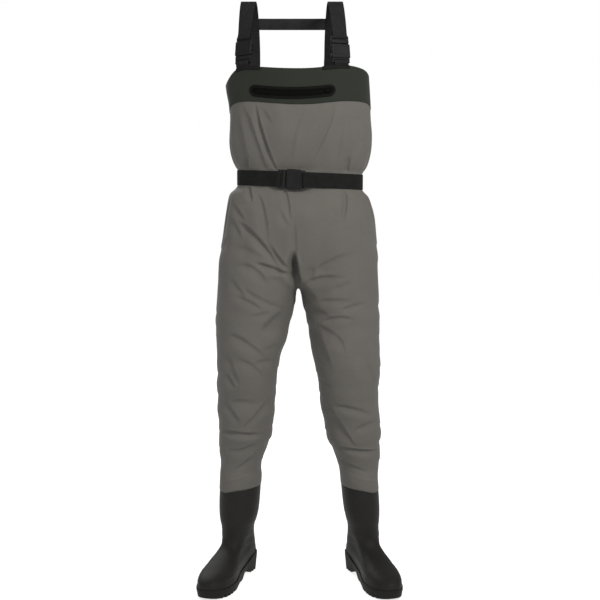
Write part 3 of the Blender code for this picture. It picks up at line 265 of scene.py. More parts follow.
KNEE_FOLDS = [
    Fold((-192, 633), (-181, 591), (-162, 551), 7.5, 3.6),
    Fold((-194, 574), (-186, 558), (-173, 540), 5.0, 4.0),
    Fold((-180, 679), (-134, 656), (-96, 623), 7.5, 3.8),
    Fold((-160, 615), (-124, 597), (-100, 569), 7.5, 3.6),
    Fold((-118, 604), (-95, 610), (-69, 607), 6.0, 2.6),
    Fold((-98, 640), (-79, 646), (-59, 651), 7.0, 2.4),
    Fold((-185, 497), (-154, 502), (-118, 495), 6.5, 3.1),
    Fold((-211, 504), (-183, 472), (-162, 441), 6.5, 4.3),
    Fold((-149, 428), (-108, 472), (-76, 502), 6.0, 5.0),
    Fold((30, 712), (50, 664), (77, 600), 12.0, 6.0),
    Fold((89, 685), (107, 666), (116, 640), 8.0, 2.8),
    Fold((57, 558), (70, 548), (83, 541), 6.0, 2.4),
    Fold((180, 662), (177, 613), (197, 558), 10.0, 2.8),
    Fold((93, 488), (142, 482), (198, 461), 5.0, 5.7),
    Fold((61, 480), (80, 478), (93, 469), 5.0, 3.3),
]
SHIN_FOLDS = [
    Fold((-221, 416), (-162, 412), (-103, 407), 4.5, 6.7),
    Fold((-192, 362), (-152, 365), (-109, 387), 7.0, 3.1),
    Fold((-190, 296), (-136, 335), (-106, 367), 6.0, 4.7),
    Fold((86, 470), (107, 432), (149, 375), 8.5, 5.7),
    Fold((148, 423), (179, 435), (212, 443), 5.0, 4.5),
    Fold((99, 374), (153, 365), (216, 356), 4.5, 5.9),
    Fold((108, 333), (144, 316), (185, 301), 5.0, 4.3),
]
FRONT_FOLDS = BIB_FOLDS + HIP_FOLDS + FORK_FOLDS + THIGH_FOLDS + KNEE_FOLDS + SHIN_FOLDS
BACK_FOLDS = [
    Fold((-120, 1240), (-95, 1180), (-70, 1120), 7.0, 3.7),
    Fold((-40, 1230), (-30, 1175), (-34, 1122), 8.0, 3.0),
    Fold((60, 1236), (48, 1180), (30, 1120), 7.0, 3.7),
    Fold((135, 1225), (122, 1170), (112, 1118), 7.0, 3.7),
    Fold((-110, 1058), (-104, 1020), (-112, 960), 7.0, 3.7),
    Fold((-30, 1062), (-22, 1010), (-16, 950), 6.0, 3.3),
    Fold((48, 1060), (60, 1015), (58, 965), 7.0, 3.3),
    Fold((126, 1050), (118, 1010), (124, 960), 6.0, 3.7),
    Fold((-150, 905), (-90, 880), (-20, 845), 8.0, 4.4),
    Fold((18, 842), (92, 872), (150, 900), 8.0, 4.4),
    Fold((-6, 985), (-5, 910), (-5, 838), 5.0, 3.7),
    Fold((-190, 800), (-125, 778), (-55, 770), 8.0, 4.4),
    Fold((48, 770), (120, 786), (185, 806), 8.0, 4.4),
    Fold((-196, 575), (-145, 560), (-85, 590), 7.0, 5.2),
    Fold((-205, 535), (-150, 545), (-80, 530), 6.0, 4.4),
    Fold((70, 585), (140, 562), (205, 590), 7.0, 5.2),
    Fold((72, 545), (140, 530), (206, 540), 6.0, 4.4),
    Fold((-215, 430), (-160, 415), (-95, 440), 6.0, 4.4),
    Fold((-212, 375), (-160, 368), (-105, 385), 6.0, 3.7),
    Fold((92, 430), (155, 420), (210, 440), 6.0, 4.4),
    Fold((104, 375), (160, 362), (212, 370), 6.0, 3.7),
]
SIDE_FOLDS = [
    Fold((14, 1240), (28, 1180), (22, 1120), 7.0, 3.0),
    Fold((92, 1236), (80, 1180), (88, 1122), 7.0, 3.0),
    Fold((8, 1058), (22, 1015), (14, 960), 6.0, 3.0),
    Fold((82, 1062), (74, 1020), (84, 955), 7.0, 2.8),
    Fold((-34, 962), (22, 926), (88, 906), 8.0, 1.7),
    Fold((36, 868), (88, 878), (138, 902), 8.0, 1.5),
    Fold((16, 744), (84, 768), (146, 802), 8.0, 1.7),
    Fold((30, 714), (84, 722), (140, 744), 7.0, 1.4),
    Fold((34, 676), (78, 654), (122, 642), 8.0, 1.3),
    Fold((10, 590), (74, 578), (132, 598), 7.0, 1.7),
    Fold((6, 520), (68, 538), (128, 548), 6.5, 1.6),
    Fold((2, 438), (58, 420), (114, 432), 6.0, 1.6),
    Fold((6, 364), (58, 380), (110, 372), 6.0, 1.5),
    Fold((18, 332), (60, 318), (104, 328), 6.0, 1.2),
]
# How far the folds of each side are moved, so that the two sides differ
SIDE_SHIFTS = {"right": (5, -16), "left": (0, 0)}
# Raised seams above the boots, by (across, height)
SEAM_LINES = [
    Fold((-226, 277), (-180, 280), (-126, 300), 2.2, -0.9),
    Fold((126, 300), (178, 281), (226, 278), 2.2, -0.9),
]
# Creases of the boots' rubber, by (length from the back of the sole, height)
BOOT_FOLDS = [
    Fold((206, 74), (196, 56), (184, 36), 8.0, 0.8),
    Fold((222, 64), (213, 50), (203, 34), 8.0, 0.7),
    Fold((48, 116), (92, 104), (134, 118), 10.0, 1.2),
    Fold((70, 82), (104, 86), (136, 100), 10.0, 1.0),
    Fold((30, 150), (80, 140), (140, 150), 10.0, 1.0),
    Fold((64, 60), (190, 42), (312, 40), 4.0, 0.8),
]
# Boots: the shaft's place on the floor with the foot's turn outwards in degrees, the shaft's distance from
# the back of the sole, the ends of the foot's middle line, and the depth that tells the outer wall
BOOT_PLACES = {"right": (-0.1722, 0.0545, 21.3), "left": (0.1778, 0.0545, 19.3)}
SHAFT_AXIS = 0.078
FOOT_LINE = (0.055, 0.200)
OUTER_DEPTH = 0.004


def deselect():
    bpy.ops.object.select_all(action="DESELECT")


def take(piece):
    """Makes a piece the only selected one."""
    deselect()
    piece.select_set(True)
    bpy.context.view_layer.objects.active = piece


def placed(name, data):
    """A new object in the scene."""
    thing = bpy.data.objects.new(name, data)
    bpy.context.scene.collection.objects.link(thing)
    return thing


def finished_mesh(work, name):
    mesh = bpy.data.meshes.new(name)
    work.to_mesh(mesh)
    work.free()
    return mesh


def apply_modifiers(piece):
    take(piece)
    for modifier in list(piece.modifiers):
        bpy.ops.object.modifier_apply(modifier=modifier.name)


def finish_piece(piece, slot, *nodes):
    """A finished piece rides on the part and stands for its solids."""
    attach(piece, "root")
    if nodes:
        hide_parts(*nodes)
    return piece


def worked_copy(node, name):
    """A copy of a solid's mesh with its corners merged and its triangles paired into quads."""
    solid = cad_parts[node]
    piece = placed(name, solid.data.copy())
    piece.data.name = name
    piece.data.materials.clear()
    take(piece)
    bpy.ops.object.mode_set(mode="EDIT")
    bpy.ops.mesh.select_all(action="SELECT")
    bpy.ops.mesh.remove_doubles(threshold=CORNER_MERGE)
    bpy.ops.mesh.tris_convert_to_quads(
        face_threshold=QUAD_ANGLE, shape_threshold=QUAD_ANGLE, topology_influence=QUAD_ORDER
    )
    bpy.ops.object.mode_set(mode="OBJECT")
    if piece.data.has_custom_normals:
        bpy.ops.mesh.customdata_custom_splitnormals_clear()
    bpy.ops.object.shade_smooth()
    return piece


def smooth01(value):
    """An even rise from 0 to 1 that starts and ends softly."""
    value = np.clip(value, 0.0, 1.0)
    return value * value * (3.0 - 2.0 * value)


def rows_of(items, name):
    """One three-part property of all items of a mesh, as rows."""
    flat = np.zeros(len(items) * 3)
    items.foreach_get(name, flat)
    return flat.reshape(-1, 3)


def points_of(mesh):
    return rows_of(mesh.vertices, "co")


def normals_of(mesh):
    return rows_of(mesh.vertices, "normal")


def set_points(mesh, points):
    mesh.vertices.foreach_set("co", points.ravel())
    mesh.update()


# Camera, light and floor


def make_camera():
    lens = bpy.data.cameras.new("camera")
    lens.sensor_width = SENSOR
    lens.lens = FOCAL_PIXELS / PHOTO_PIXELS * SENSOR
    camera = placed("camera", lens)
    camera.location = CAMERA_PLACE
    camera.rotation_euler = (math.radians(90.0 - CAMERA_DIP), 0.0, 0.0)
    bpy.context.scene.camera = camera


def make_lamp(name, place, aim, size, power):
    lamp = bpy.data.lights.new(name, "AREA")
    lamp.shape = "DISK"
    lamp.size = size
    lamp.energy = power
    stand = placed(name, lamp)
    stand.location = place
    stand.rotation_euler = (Vector(aim) - Vector(place)).to_track_quat("-Z", "Y").to_euler()


def make_room():
    """A white room: its walls show as white, and give off a softer light."""
    world = bpy.data.worlds.new("studio")
    world.use_nodes = True
    nodes, links = world.node_tree.nodes, world.node_tree.links
    seen = nodes.new("ShaderNodeLightPath")
    strength = nodes.new("ShaderNodeMapRange")
    strength.inputs["To Min"].default_value = ROOM_LIGHT
    strength.inputs["To Max"].default_value = 1.0
    nodes["Background"].inputs["Color"].default_value = WHITE
    links.new(seen.outputs["Is Camera Ray"], strength.inputs["Value"])
    links.new(strength.outputs["Result"], nodes["Background"].inputs["Strength"])
    bpy.context.scene.world = world
    bpy.context.scene.view_settings.view_transform = "Standard"


def make_studio():
    """A pale floor, a key lamp high in front on the wearer's left, a wide fill lamp and a back lamp."""
    make_room()
    for name, place, size, power in LAMPS:
        make_lamp(name, place, LAMP_AIM, size, power)
    deselect()
    bpy.ops.mesh.primitive_plane_add(size=FLOOR_SIZE)
    floor = bpy.context.active_object
    floor.name = "studio_floor"
    paint = plain_material("floor_paint", FLOOR_COLOUR, roughness=0.9, specular=0.0)
    shader_of(paint).inputs["Emission Color"].default_value = WHITE
    shader_of(paint).inputs["Emission Strength"].default_value = FLOOR_GLOW
    floor.data.materials.append(paint)
    floor.visible_diffuse = False


# Materials


def shader_of(material):
    return material.node_tree.nodes["Principled BSDF"]


def plain_material(name, colour, roughness, specular):
    material = bpy.data.materials.new(name)
    material.use_nodes = True
    shader = shader_of(material)
    shader.inputs["Base Color"].default_value = (*colour, 1.0)
    shader.inputs["Roughness"].default_value = roughness
    shader.inputs["Specular IOR Level"].default_value = specular
    return material


def add_node(material, kind, **inputs):
    """Adds a shader node with the given values on its inputs, named with underscores for spaces."""
    made = material.node_tree.nodes.new(kind)
    for name, value in inputs.items():
        made.inputs[name.replace("_", " ")].default_value = value
    return made


def wire(material, source, output, target, socket):
    material.node_tree.links.new(source.outputs[output], target.inputs[socket])


def cloud(material, coords, scale, detail, roughness):
    """A noise pattern on the piece's own coordinates."""
    made = add_node(material, "ShaderNodeTexNoise", Scale=scale, Detail=detail, Roughness=roughness)
    wire(material, coords, "Object", made, "Vector")
    return made


def mottle(material, coords, colour, scale, spread):
    """Varies the base colour softly over the surface, by a share of its brightness."""
    ramp = add_node(material, "ShaderNodeValToRGB")
    for end, (place, share) in zip(ramp.color_ramp.elements, ((0.3, 1.0 - spread), (0.7, 1.0 + spread))):
        end.position = place
        end.color = (*(part * share for part in colour), 1.0)
    wire(material, cloud(material, coords, scale, detail=4.0, roughness=0.6), "Fac", ramp, "Fac")
    wire(material, ramp, "Color", shader_of(material), "Base Color")


def bump(material, height, output, strength, distance, below=None):
    """A bump from a height pattern, over another bump where one is given."""
    made = add_node(material, "ShaderNodeBump", Strength=strength, Distance=distance)
    wire(material, height, output, made, "Height")
    if below is not None:
        wire(material, below, "Normal", made, "Normal")
    return made


def waves(material, coords, direction, pitch):
    """Even ridges of the given pitch across a UV map that is in metres."""
    ridges = add_node(material, "ShaderNodeTexWave", Scale=ONE_RIDGE / pitch)
    ridges.bands_direction = direction
    wire(material, coords, "UV", ridges, "Vector")
    return ridges


def woven(material, coords, pitch):
    """The height of a plain weave of the given thread pitch."""
    both = add_node(material, "ShaderNodeMath")
    both.operation = "MULTIPLY"
    for socket, direction in enumerate("XY"):
        wire(material, waves(material, coords, direction, pitch), "Fac", both, socket)
    return both


def cloth_material(name, colour, pitch):
    """Coated nylon: a fine weave, a slight mottle and a soft rub of light on its edges."""
    material = plain_material(name, colour, roughness=0.78, specular=0.18)
    shader = shader_of(material)
    shader.inputs["Sheen Weight"].default_value = 0.06
    shader.inputs["Sheen Roughness"].default_value = 0.5
    coords = add_node(material, "ShaderNodeTexCoord")
    mottle(material, coords, colour, scale=9.0, spread=0.05)
    weave = bump(material, woven(material, coords, pitch), "Value", strength=0.12, distance=0.0003)
    crumple = cloud(material, coords, scale=38.0, detail=5.0, roughness=0.55)
    soft = bump(material, crumple, "Fac", strength=0.18, distance=0.004, below=weave)
    wire(material, soft, "Normal", shader, "Normal")
    return material


def webbing_material(name, colour):
    """Heavy nylon webbing: ribs across the band and shallower threads along it."""
    material = plain_material(name, colour, roughness=0.82, specular=0.12)
    coords = add_node(material, "ShaderNodeTexCoord")
    mottle(material, coords, colour, scale=60.0, spread=0.18)
    ribs = waves(material, coords, "Y", RIB_PITCH)
    thread = waves(material, coords, "X", THREAD_PITCH)
    ribbed = bump(material, ribs, "Fac", strength=0.35, distance=0.0004)
    threaded = bump(material, thread, "Fac", strength=0.25, distance=0.0003, below=ribbed)
    wire(material, threaded, "Normal", shader_of(material), "Normal")
    return material


def moulded_material(name, colour, roughness, specular, grain):
    """Moulded plastic or rubber with a fine grain, which also varies its gloss."""
    material = plain_material(name, colour, roughness, specular)
    shader = shader_of(material)
    coords = add_node(material, "ShaderNodeTexCoord")
    mottle(material, coords, colour, scale=24.0, spread=0.14)
    speck = cloud(material, coords, grain, detail=3.0, roughness=0.6)
    rough = add_node(material, "ShaderNodeMapRange", To_Min=roughness - 0.08, To_Max=roughness + 0.10)
    wire(material, speck, "Fac", rough, "Value")
    wire(material, rough, "Result", shader, "Roughness")
    wire(material, bump(material, speck, "Fac", strength=0.12, distance=0.0006), "Normal", shader, "Normal")
    return material


def make_materials():
    """All finishes: cloths with their thread pitch, webbing, and moulded ones with roughness, specular and
    grain."""
    return {
        "shell_cloth": cloth_material("grey_cloth", (0.143, 0.134, 0.119), 0.00069),
        "lining": cloth_material("lining_cloth", (0.20, 0.20, 0.20), 0.00057),
        "yoke_cloth": cloth_material("green_cloth", (0.0208, 0.0240, 0.0166), 0.00069),
        "insole_felt": cloth_material("insole_felt", (0.055, 0.053, 0.050), 0.0010),
        "belt_webbing": webbing_material("belt_webbing", (0.0100, 0.0100, 0.0094)),
        "strap_webbing": webbing_material("strap_webbing", (0.0175, 0.0175, 0.0175)),
        # Crossbar webbing with painted light: its colour is about twice as light as the straps' webbing, to
        # brighten the shade that falls on its forward face
        "bar_webbing_painted_light": webbing_material("bar_webbing_painted_light", (0.0345, 0.0345, 0.0345)),
        "sewing_thread": plain_material("sewing_thread", (0.0300, 0.0300, 0.0290), 0.75, 0.15),
        "zip_trim": moulded_material("welded_trim", (0.0052, 0.0056, 0.0040), 0.66, 0.06, 900.0),
        "zip_tape": moulded_material("zip_tape", (0.0022, 0.0024, 0.0019), 0.72, 0.05, 900.0),
        "buckle_plastic": moulded_material("buckle_plastic", (0.0090, 0.0090, 0.0088), 0.58, 0.16, 1200.0),
        "boot_rubber": moulded_material("boot_rubber", (0.0150, 0.0143, 0.0129), 0.60, 0.16, 700.0),
        "sole_rubber": moulded_material("sole_rubber", (0.0155, 0.0148, 0.0133), 0.70, 0.12, 500.0),
    }


# Cloth


def fold_curve(fold):
    """Points of a fold's curve in metres: it runs through its three points and a little further."""
    start, middle, end = (np.array(point) * MILLIMETRE for point in fold[:3])
    pull = 2.0 * middle - (start + end) / 2.0
    share = np.linspace(-FOLD_LEAD, 1.0 + FOLD_LEAD, FOLD_STEPS + 1)[:, None]
    return start * (1.0 - share) ** 2 + pull * 2.0 * share * (1.0 - share) + end * share**2


def distance_along(places, curve):
    """Each place's distance to a curve, positive on its left, and its share of the way along the curve."""
    low, step = curve[:-1], curve[1:] - curve[:-1]
    length = (step**2).sum(1)
    offset = places[:, None, :] - low[None, :, :]
    share = np.clip((offset * step[None]).sum(2) / length[None], 0.0, 1.0)
    gap = np.linalg.norm(offset - share[:, :, None] * step[None], axis=2)
    nearest = gap.argmin(1)
    rows = np.arange(len(places))
    offset = offset[rows, nearest]
    side = np.sign(step[nearest, 0] * offset[:, 1] - step[nearest, 1] * offset[:, 0])
    return side * gap[rows, nearest], (nearest + share[rows, nearest]) / len(low)


def fold_height(places, folds, spread=1.0):
    """How far each place is pushed out by the folds: a trough between two lower ridges, steep on one side.
    Spread widens them."""
    height = np.zeros(len(places))
    for fold in folds:
        curve = fold_curve(fold)
        width, depth = fold.width * spread * MILLIMETRE, fold.depth * MILLIMETRE
        reach = FOLD_REACH * width * FOLD_SOFT
        near = ((places > curve.min(0) - reach) & (places < curve.max(0) + reach)).all(1)
        if not near.any():
            continue
        gap, share = distance_along(places[near], curve)
        taper = smooth01(np.minimum(share, 1.0 - share) / FOLD_TAPER)
        narrow = FOLD_END_WIDTH + (1.0 - FOLD_END_WIDTH) * taper
        across = gap / width / narrow / np.where(gap > 0.0, FOLD_STEEP, FOLD_SOFT)
        height[near] -= depth * taper * (1.0 - FOLD_RIDGE * across**2) * np.exp(-(across**2) / 2.0)
    return height


def undulation(points):
    """An uneven swell of slack cloth, whose ripples run up the trunk and across the legs."""
    up = Vector((SWELL_ACROSS, SWELL_ACROSS, SWELL_RUN))
    across = Vector((SWELL_RUN, SWELL_RUN, SWELL_ACROSS))
    upright = smooth01((points[:, 2] - SWELL_TURN[0]) / SWELL_TURN[1])
    swell = []
    for point, share in zip(points, upright):
        place = Vector(point)
        ripple = noise.noise(place * up) * share + noise.noise(place * across) * (1.0 - share)
        swell.append(ripple * SWELL_RIPPLE + noise.noise(place * SWELL_SLOW) * SWELL_HEIGHT)
    return np.array(swell)


def freedom(points):
    """How free the cloth is to fold: not at all under the belt, at the pocket and on the boots' shafts, and
    little at the bib's top edge."""
    x, y, z = points.T
    belt = np.abs(z - (BELT_Z - BELT_TILT * x))
    free = smooth01((belt - BELT_HALF) / BELT_EASE)
    pocket_x = np.abs(x - POCKET_PLACE[0]) - POCKET_REACH[0]
    pocket_z = np.abs(z - POCKET_PLACE[1]) - POCKET_REACH[1]
    free *= np.where(y < TRUNK_Y, smooth01(np.maximum(pocket_x, pocket_z) / POCKET_EASE), 1.0)
    free *= smooth01((EDGE_TOP - z) / EDGE_EASE) * (1.0 - EDGE_FREE) + EDGE_FREE
    return free * smooth01((z - HEM_TOP) / HEM_EASE)


def all_folds(mesh, spread=1.0):
    """How far the folds of the front, the back and the sides, and the seams, push each point out."""
    points, normals = points_of(mesh), normals_of(mesh)
    places = points[:, (0, 2)]
    in_front = smooth01((FRONT_SLOPE - normals[:, 1]) / FRONT_FADE)
    at_back = smooth01((normals[:, 1] - FRONT_SLOPE) / FRONT_FADE)
    height = fold_height(places, FRONT_FOLDS, spread) * in_front
    height += fold_height(places, BACK_FOLDS, spread) * at_back
    for side, shift in SIDE_SHIFTS.items():
        at_side = smooth01((normals[:, 0] * SIDES[side] - SIDE_SLOPE) / SIDE_FADE)
        from_side = points[:, (1, 2)] - np.array(shift) * MILLIMETRE
        height += fold_height(from_side, SIDE_FOLDS, spread) * at_side
    return height * freedom(points) + fold_height(places, SEAM_LINES) * in_front


def refine_folds(mesh):
    """Cuts the faces under a fold into four, so that the fold's steep side is drawn."""
    folded = np.abs(all_folds(mesh)) > FOLD_REFINE
    work = bmesh.new()
    work.from_mesh(mesh)
    faces = {face.index for face in work.faces if any(folded[vert.index] for vert in face.verts)}
    edges = [edge for edge in work.edges if any(face.index in faces for face in edge.link_faces)]
    bmesh.ops.subdivide_edges(work, edges=edges, cuts=1, use_grid_fill=True)
    work.to_mesh(mesh)
    work.free()


def crease_cloth(mesh):
    """Moves the cloth's points out along their normals by the folds and the swell."""
    points = points_of(mesh)
    height = all_folds(mesh) + undulation(points) * freedom(points)
    set_points(mesh, points + normals_of(mesh) * height[:, None])


def select_face(mesh, number):
    """Selects one face alone, for edit mode."""
    for group in (mesh.polygons, mesh.edges, mesh.vertices):
        group.foreach_set("select", np.zeros(len(group), dtype=bool))
    mesh.polygons[number].select = True
    mesh.polygons.active = number
    bpy.context.tool_settings.mesh_select_mode = (False, False, True)


def keep_outer_wall(piece):
    """Deletes the inner wall and the rims, and leaves the outer skin, starting from its outermost face."""
    take(piece)
    upright = [face for face in piece.data.polygons if abs(face.normal.z) < UPRIGHT_SLOPE]
    select_face(piece.data, min(upright, key=lambda face: face.center.x).index)
    bpy.ops.object.mode_set(mode="EDIT")
    bpy.ops.mesh.faces_select_linked_flat(sharpness=WALL_ANGLE)
    bpy.ops.mesh.select_all(action="INVERT")
    bpy.ops.mesh.delete(type="FACE")
    bpy.ops.object.mode_set(mode="OBJECT")


def upper_ring(work):
    """The points along the highest open edge of a tube of cloth."""
    ring = [vert for edge in work.edges if edge.is_boundary for vert in edge.verts]
    middle = (max(v.co.z for v in ring) + min(v.co.z for v in ring)) / 2
    return {vert for vert in ring if vert.co.z > middle}


def add_panel(work, number, node):
    """Adds the outer wall of one cloth solid, with its faces marked by their panel."""
    skin = worked_copy(node, node + "_skin")
    keep_outer_wall(skin)
    part = bmesh.new()
    part.from_mesh(skin.data)
    bmesh.ops.remove_doubles(part, verts=part.verts, dist=SEAM_MERGE)
    panel = part.faces.layers.int.new("panel")
    for face in part.faces:
        face[panel] = number
    if node == "cloth_trunk":
        mark_yoke(part, panel)
    part.to_mesh(skin.data)
    part.free()
    work.from_mesh(skin.data)
    bpy.data.objects.remove(skin)


def mark_yoke(part, panel):
    """Marks the upper rows of the trunk's faces, which the yoke covers."""
    ring = upper_ring(part)
    for _ in range(YOKE_ROWS):
        faces = {face for vert in ring for face in vert.link_faces}
        for face in faces:
            face[panel] = YOKE_PANEL
        ring = {vert for face in faces for vert in face.verts}


def joined_skin():
    """One skin of the trunk and the legs, sewn up along their seams."""
    work = bmesh.new()
    work.faces.layers.int.new("panel")
    for number, node in enumerate(CLOTH_NODES):
        add_panel(work, number, node)
    bmesh.ops.remove_doubles(work, verts=work.verts, dist=SEAM_MERGE)
    skin = placed("cloth_skin", finished_mesh(work, "cloth_skin"))
    hold_form(skin)
    return skin


def hold_form(piece):
    """Moves the corners of a coarse mesh so that its subdivided surface runs through where they were."""
    aim = points_of(piece.data)
    refine = piece.modifiers.new("refine", "SUBSURF")
    refine.levels = HOLD_LEVELS
    for _ in range(HOLD_ROUNDS):
        graph = bpy.context.evaluated_depsgraph_get()
        shown = points_of(piece.evaluated_get(graph).data)[: len(aim)]
        set_points(piece.data, points_of(piece.data) + aim - shown)
        bpy.context.view_layer.update()
    piece.modifiers.remove(refine)


def subdivide_piece(piece):
    """Makes a coarse mesh fine and smooth."""
    refine = piece.modifiers.new("refine", "SUBSURF")
    refine.levels = FINE_LEVELS
    refine.render_levels = FINE_LEVELS
    apply_modifiers(piece)
    piece.data.shade_smooth()


def copy_piece(piece, name):
    twin = placed(name, piece.data.copy())
    twin.data.name = name
    return twin


def wrap_uv(mesh):
    """A UV map in metres: round the trunk or the leg, and up."""
    points = points_of(mesh)
    layer = mesh.uv_layers.new(name="cloth")
    corner = np.zeros(len(mesh.loops), dtype=int)
    mesh.loops.foreach_get("vertex_index", corner)
    face = np.repeat(np.arange(len(mesh.polygons)), [len(p.vertices) for p in mesh.polygons])
    centre = rows_of(mesh.polygons, "center")
    in_leg = centre[:, 2] < LEG_TOP
    axis_x = np.where(in_leg, np.sign(centre[:, 0]) * LEG_AXIS_X, TRUNK_AXIS_X)[face]
    radius = np.where(in_leg, LEG_RADIUS, TRUNK_RADIUS)[face]
    x, y, z = points[corner].T
    turn = np.arctan2(x - axis_x, -(y - TRUNK_Y))
    middle = np.arctan2(centre[face, 0] - axis_x, -(centre[face, 1] - TRUNK_Y))
    turn += 2.0 * math.pi * np.round((middle - turn) / (2.0 * math.pi))
    layer.data.foreach_set("uv", np.stack([turn * radius, z], 1).ravel())


def lift(piece, distance):
    """Moves a skin outwards along its normals."""
    set_points(piece.data, points_of(piece.data) + normals_of(piece.data) * distance)


def thicken(piece, wall, rim_only=False):
    solid = piece.modifiers.new("wall", "SOLIDIFY")
    solid.thickness = wall
    solid.offset = -1.0
    solid.use_rim_only = rim_only
    apply_modifiers(piece)


def hold_normals(mesh):
    """Keeps the whole skin's normals with its points, so that panels cut from it shade as one cloth."""
    kept = mesh.attributes.new("held_normal", "FLOAT_VECTOR", "POINT")
    kept.data.foreach_set("vector", normals_of(mesh).ravel())


def keep_panels(mesh, wanted):
    """Deletes the faces of all panels but the wanted ones."""
    work = bmesh.new()
    work.from_mesh(mesh)
    panel = work.faces.layers.int["panel"]
    bmesh.ops.delete(work, geom=[face for face in work.faces if face[panel] not in wanted], context="FACES")
    work.to_mesh(mesh)
    work.free()


def cut_panel(skin, number, name, material):
    """A piece from the faces of one panel; the trunk's panel runs on under the yoke."""
    piece = copy_piece(skin, name)
    mesh = piece.data
    keep_panels(mesh, (number, YOKE_PANEL) if number == TRUNK_PANEL else (number,))
    mesh.materials.append(material)
    kept = rows_of(mesh.attributes["held_normal"].data, "vector")
    mesh.normals_split_custom_set_from_vertices(kept)
    mesh.attributes.remove(mesh.attributes["held_normal"])
    return piece


def make_cloth(materials):
    """The trunk, the legs, the yoke and the lining, from one creased skin."""
    coarse = joined_skin()
    skin = copy_piece(coarse, "cloth_fine")
    subdivide_piece(skin)
    refine_folds(skin.data)
    crease_cloth(skin.data)
    wrap_uv(skin.data)
    make_yoke(skin, materials["yoke_cloth"])
    make_strap_bases(skin.data, materials["belt_webbing"])
    thicken(skin, CLOTH_WALL, rim_only=True)
    hold_normals(skin.data)
    for number, node in enumerate(CLOTH_NODES):
        piece = cut_panel(skin, number, node + "_dressed", materials["shell_cloth"])
        finish_piece(piece, "shell_cloth", node)
    make_lining(coarse, materials)
    bpy.data.objects.remove(skin)
    bpy.data.objects.remove(coarse)


def make_yoke(skin, material):
    """The yoke is a second layer over the marked part of the skin."""
    yoke = copy_piece(skin, "chest_yoke_dressed")
    keep_panels(yoke.data, (YOKE_PANEL,))
    yoke.data.materials.append(material)
    lift(yoke, YOKE_LIFT + YOKE_WALL)
    thicken(yoke, YOKE_WALL)
    finish_piece(yoke, "yoke_cloth", "chest_yoke")


def make_lining(coarse, materials):
    """A loose lining inside the cloth, which meets it at the bib's top edge and at the hems. Its upper part
    is a facing of the yoke's cloth."""
    inside = copy_piece(coarse, "cloth_inside")
    subdivide_piece(inside)
    mesh = inside.data
    wrap_uv(mesh)
    points = points_of(mesh)
    from_rims = np.minimum(points[:, 2] - LINING_LOW, LINING_HIGH - points[:, 2])
    loose = smooth01(from_rims / LINING_EASE)
    height = np.minimum(all_folds(mesh), all_folds(mesh, LINING_SPREAD))
    height += undulation(points) * freedom(points) - CLOTH_WALL - LINING_SLACK * loose
    set_points(mesh, points + normals_of(mesh) * height[:, None])
    mesh.flip_normals()
    parts = (
        ("cloth_lining", tuple(range(YOKE_PANEL)), "lining", "shell_cloth", LINING_CUT),
        ("yoke_facing", (YOKE_PANEL,), "yoke_cloth", "yoke_cloth", YOKE_CUT),
    )
    for name, panels, finish, slot, cut in parts:
        piece = copy_piece(inside, name)
        keep_panels(piece.data, panels)
        piece.data.materials.append(materials[finish])
        finish_piece(piece, slot)
    bpy.data.objects.remove(inside)


# Webbing


def band_rings(node):
    """The four-cornered sections of a band's solid, walked from one end cap to the other."""
    source = worked_copy(node, node + "_rings")
    work = bmesh.new()
    work.from_mesh(source.data)
    bpy.data.objects.remove(source)
    caps = [face for face in work.faces if all(len(vert.link_edges) == 3 for vert in face.verts)]
    ring = list(caps[0].verts)
    seen = set(ring)
    rings = [[vert.co.copy() for vert in ring]]
    while True:
        ahead = [next_corner(vert, seen) for vert in ring]
        if None in ahead:
            break
        ring = ahead
        seen.update(ring)
        rings.append([vert.co.copy() for vert in ring])
    work.free()
    return rings


def next_corner(corner, seen):
    """The corner of the next section that an edge leads to."""
    for edge in corner.link_edges:
        if edge.other_vert(corner) not in seen:
            return edge.other_vert(corner)
    return None


def bar_rings(node):
    """The four-cornered sections of a band that runs straight across the garment."""
    source = worked_copy(node, node + "_rings")
    corners = sorted((vert.co.copy() for vert in source.data.vertices), key=lambda corner: corner.x)
    bpy.data.objects.remove(source)
    sections = [[corners[0]]]
    for before, corner in zip(corners, corners[1:]):
        if corner.x - before.x > BAR_STEP:
            sections.append([])
        sections[-1].append(corner)
    rings = []
    for section in sections:
        if len(section) == 4:
            low, low_too, high, high_too = sorted(section, key=lambda corner: corner.z)
            low, low_too = sorted((low, low_too), key=lambda corner: corner.y)
            high, high_too = sorted((high, high_too), key=lambda corner: corner.y)
            rings.append([low, low_too, high_too, high])
    return rings


def band_path(rings):
    """A band's centre, direction across and direction out at each section, with its width and its wall."""
    centres, across, out = [], [], []
    for a, b, c, d in rings:
        first, second = (b - a) + (c - d), (d - a) + (c - b)
        wide, thin = (first, second) if first.length > second.length else (second, first)
        centres.append((a + b + c + d) / 4)
        across.append(wide / 2)
        out.append(thin / 2)
    width, wall = across[0].length, out[0].length
    return np.array(centres), np.array(across) / width, np.array(out) / wall, width, wall


def smooth_rows(rows, steps):
    """Points between the rows on a smooth curve through them; steps gives how many for each interval."""
    padded = np.vstack([2 * rows[0] - rows[1], rows, 2 * rows[-1] - rows[-2]])
    made = []
    for k, count in enumerate(steps):
        before, start, end, after = padded[k : k + 4]
        for share in np.arange(count) / count:
            pull = (2 * before - 5 * start + 4 * end - after) * share**2
            turn = (3 * start - before - 3 * end + after) * share**3
            made.append(start + ((end - before) * share + pull + turn) / 2)
    made.append(rows[-1])
    return np.array(made)


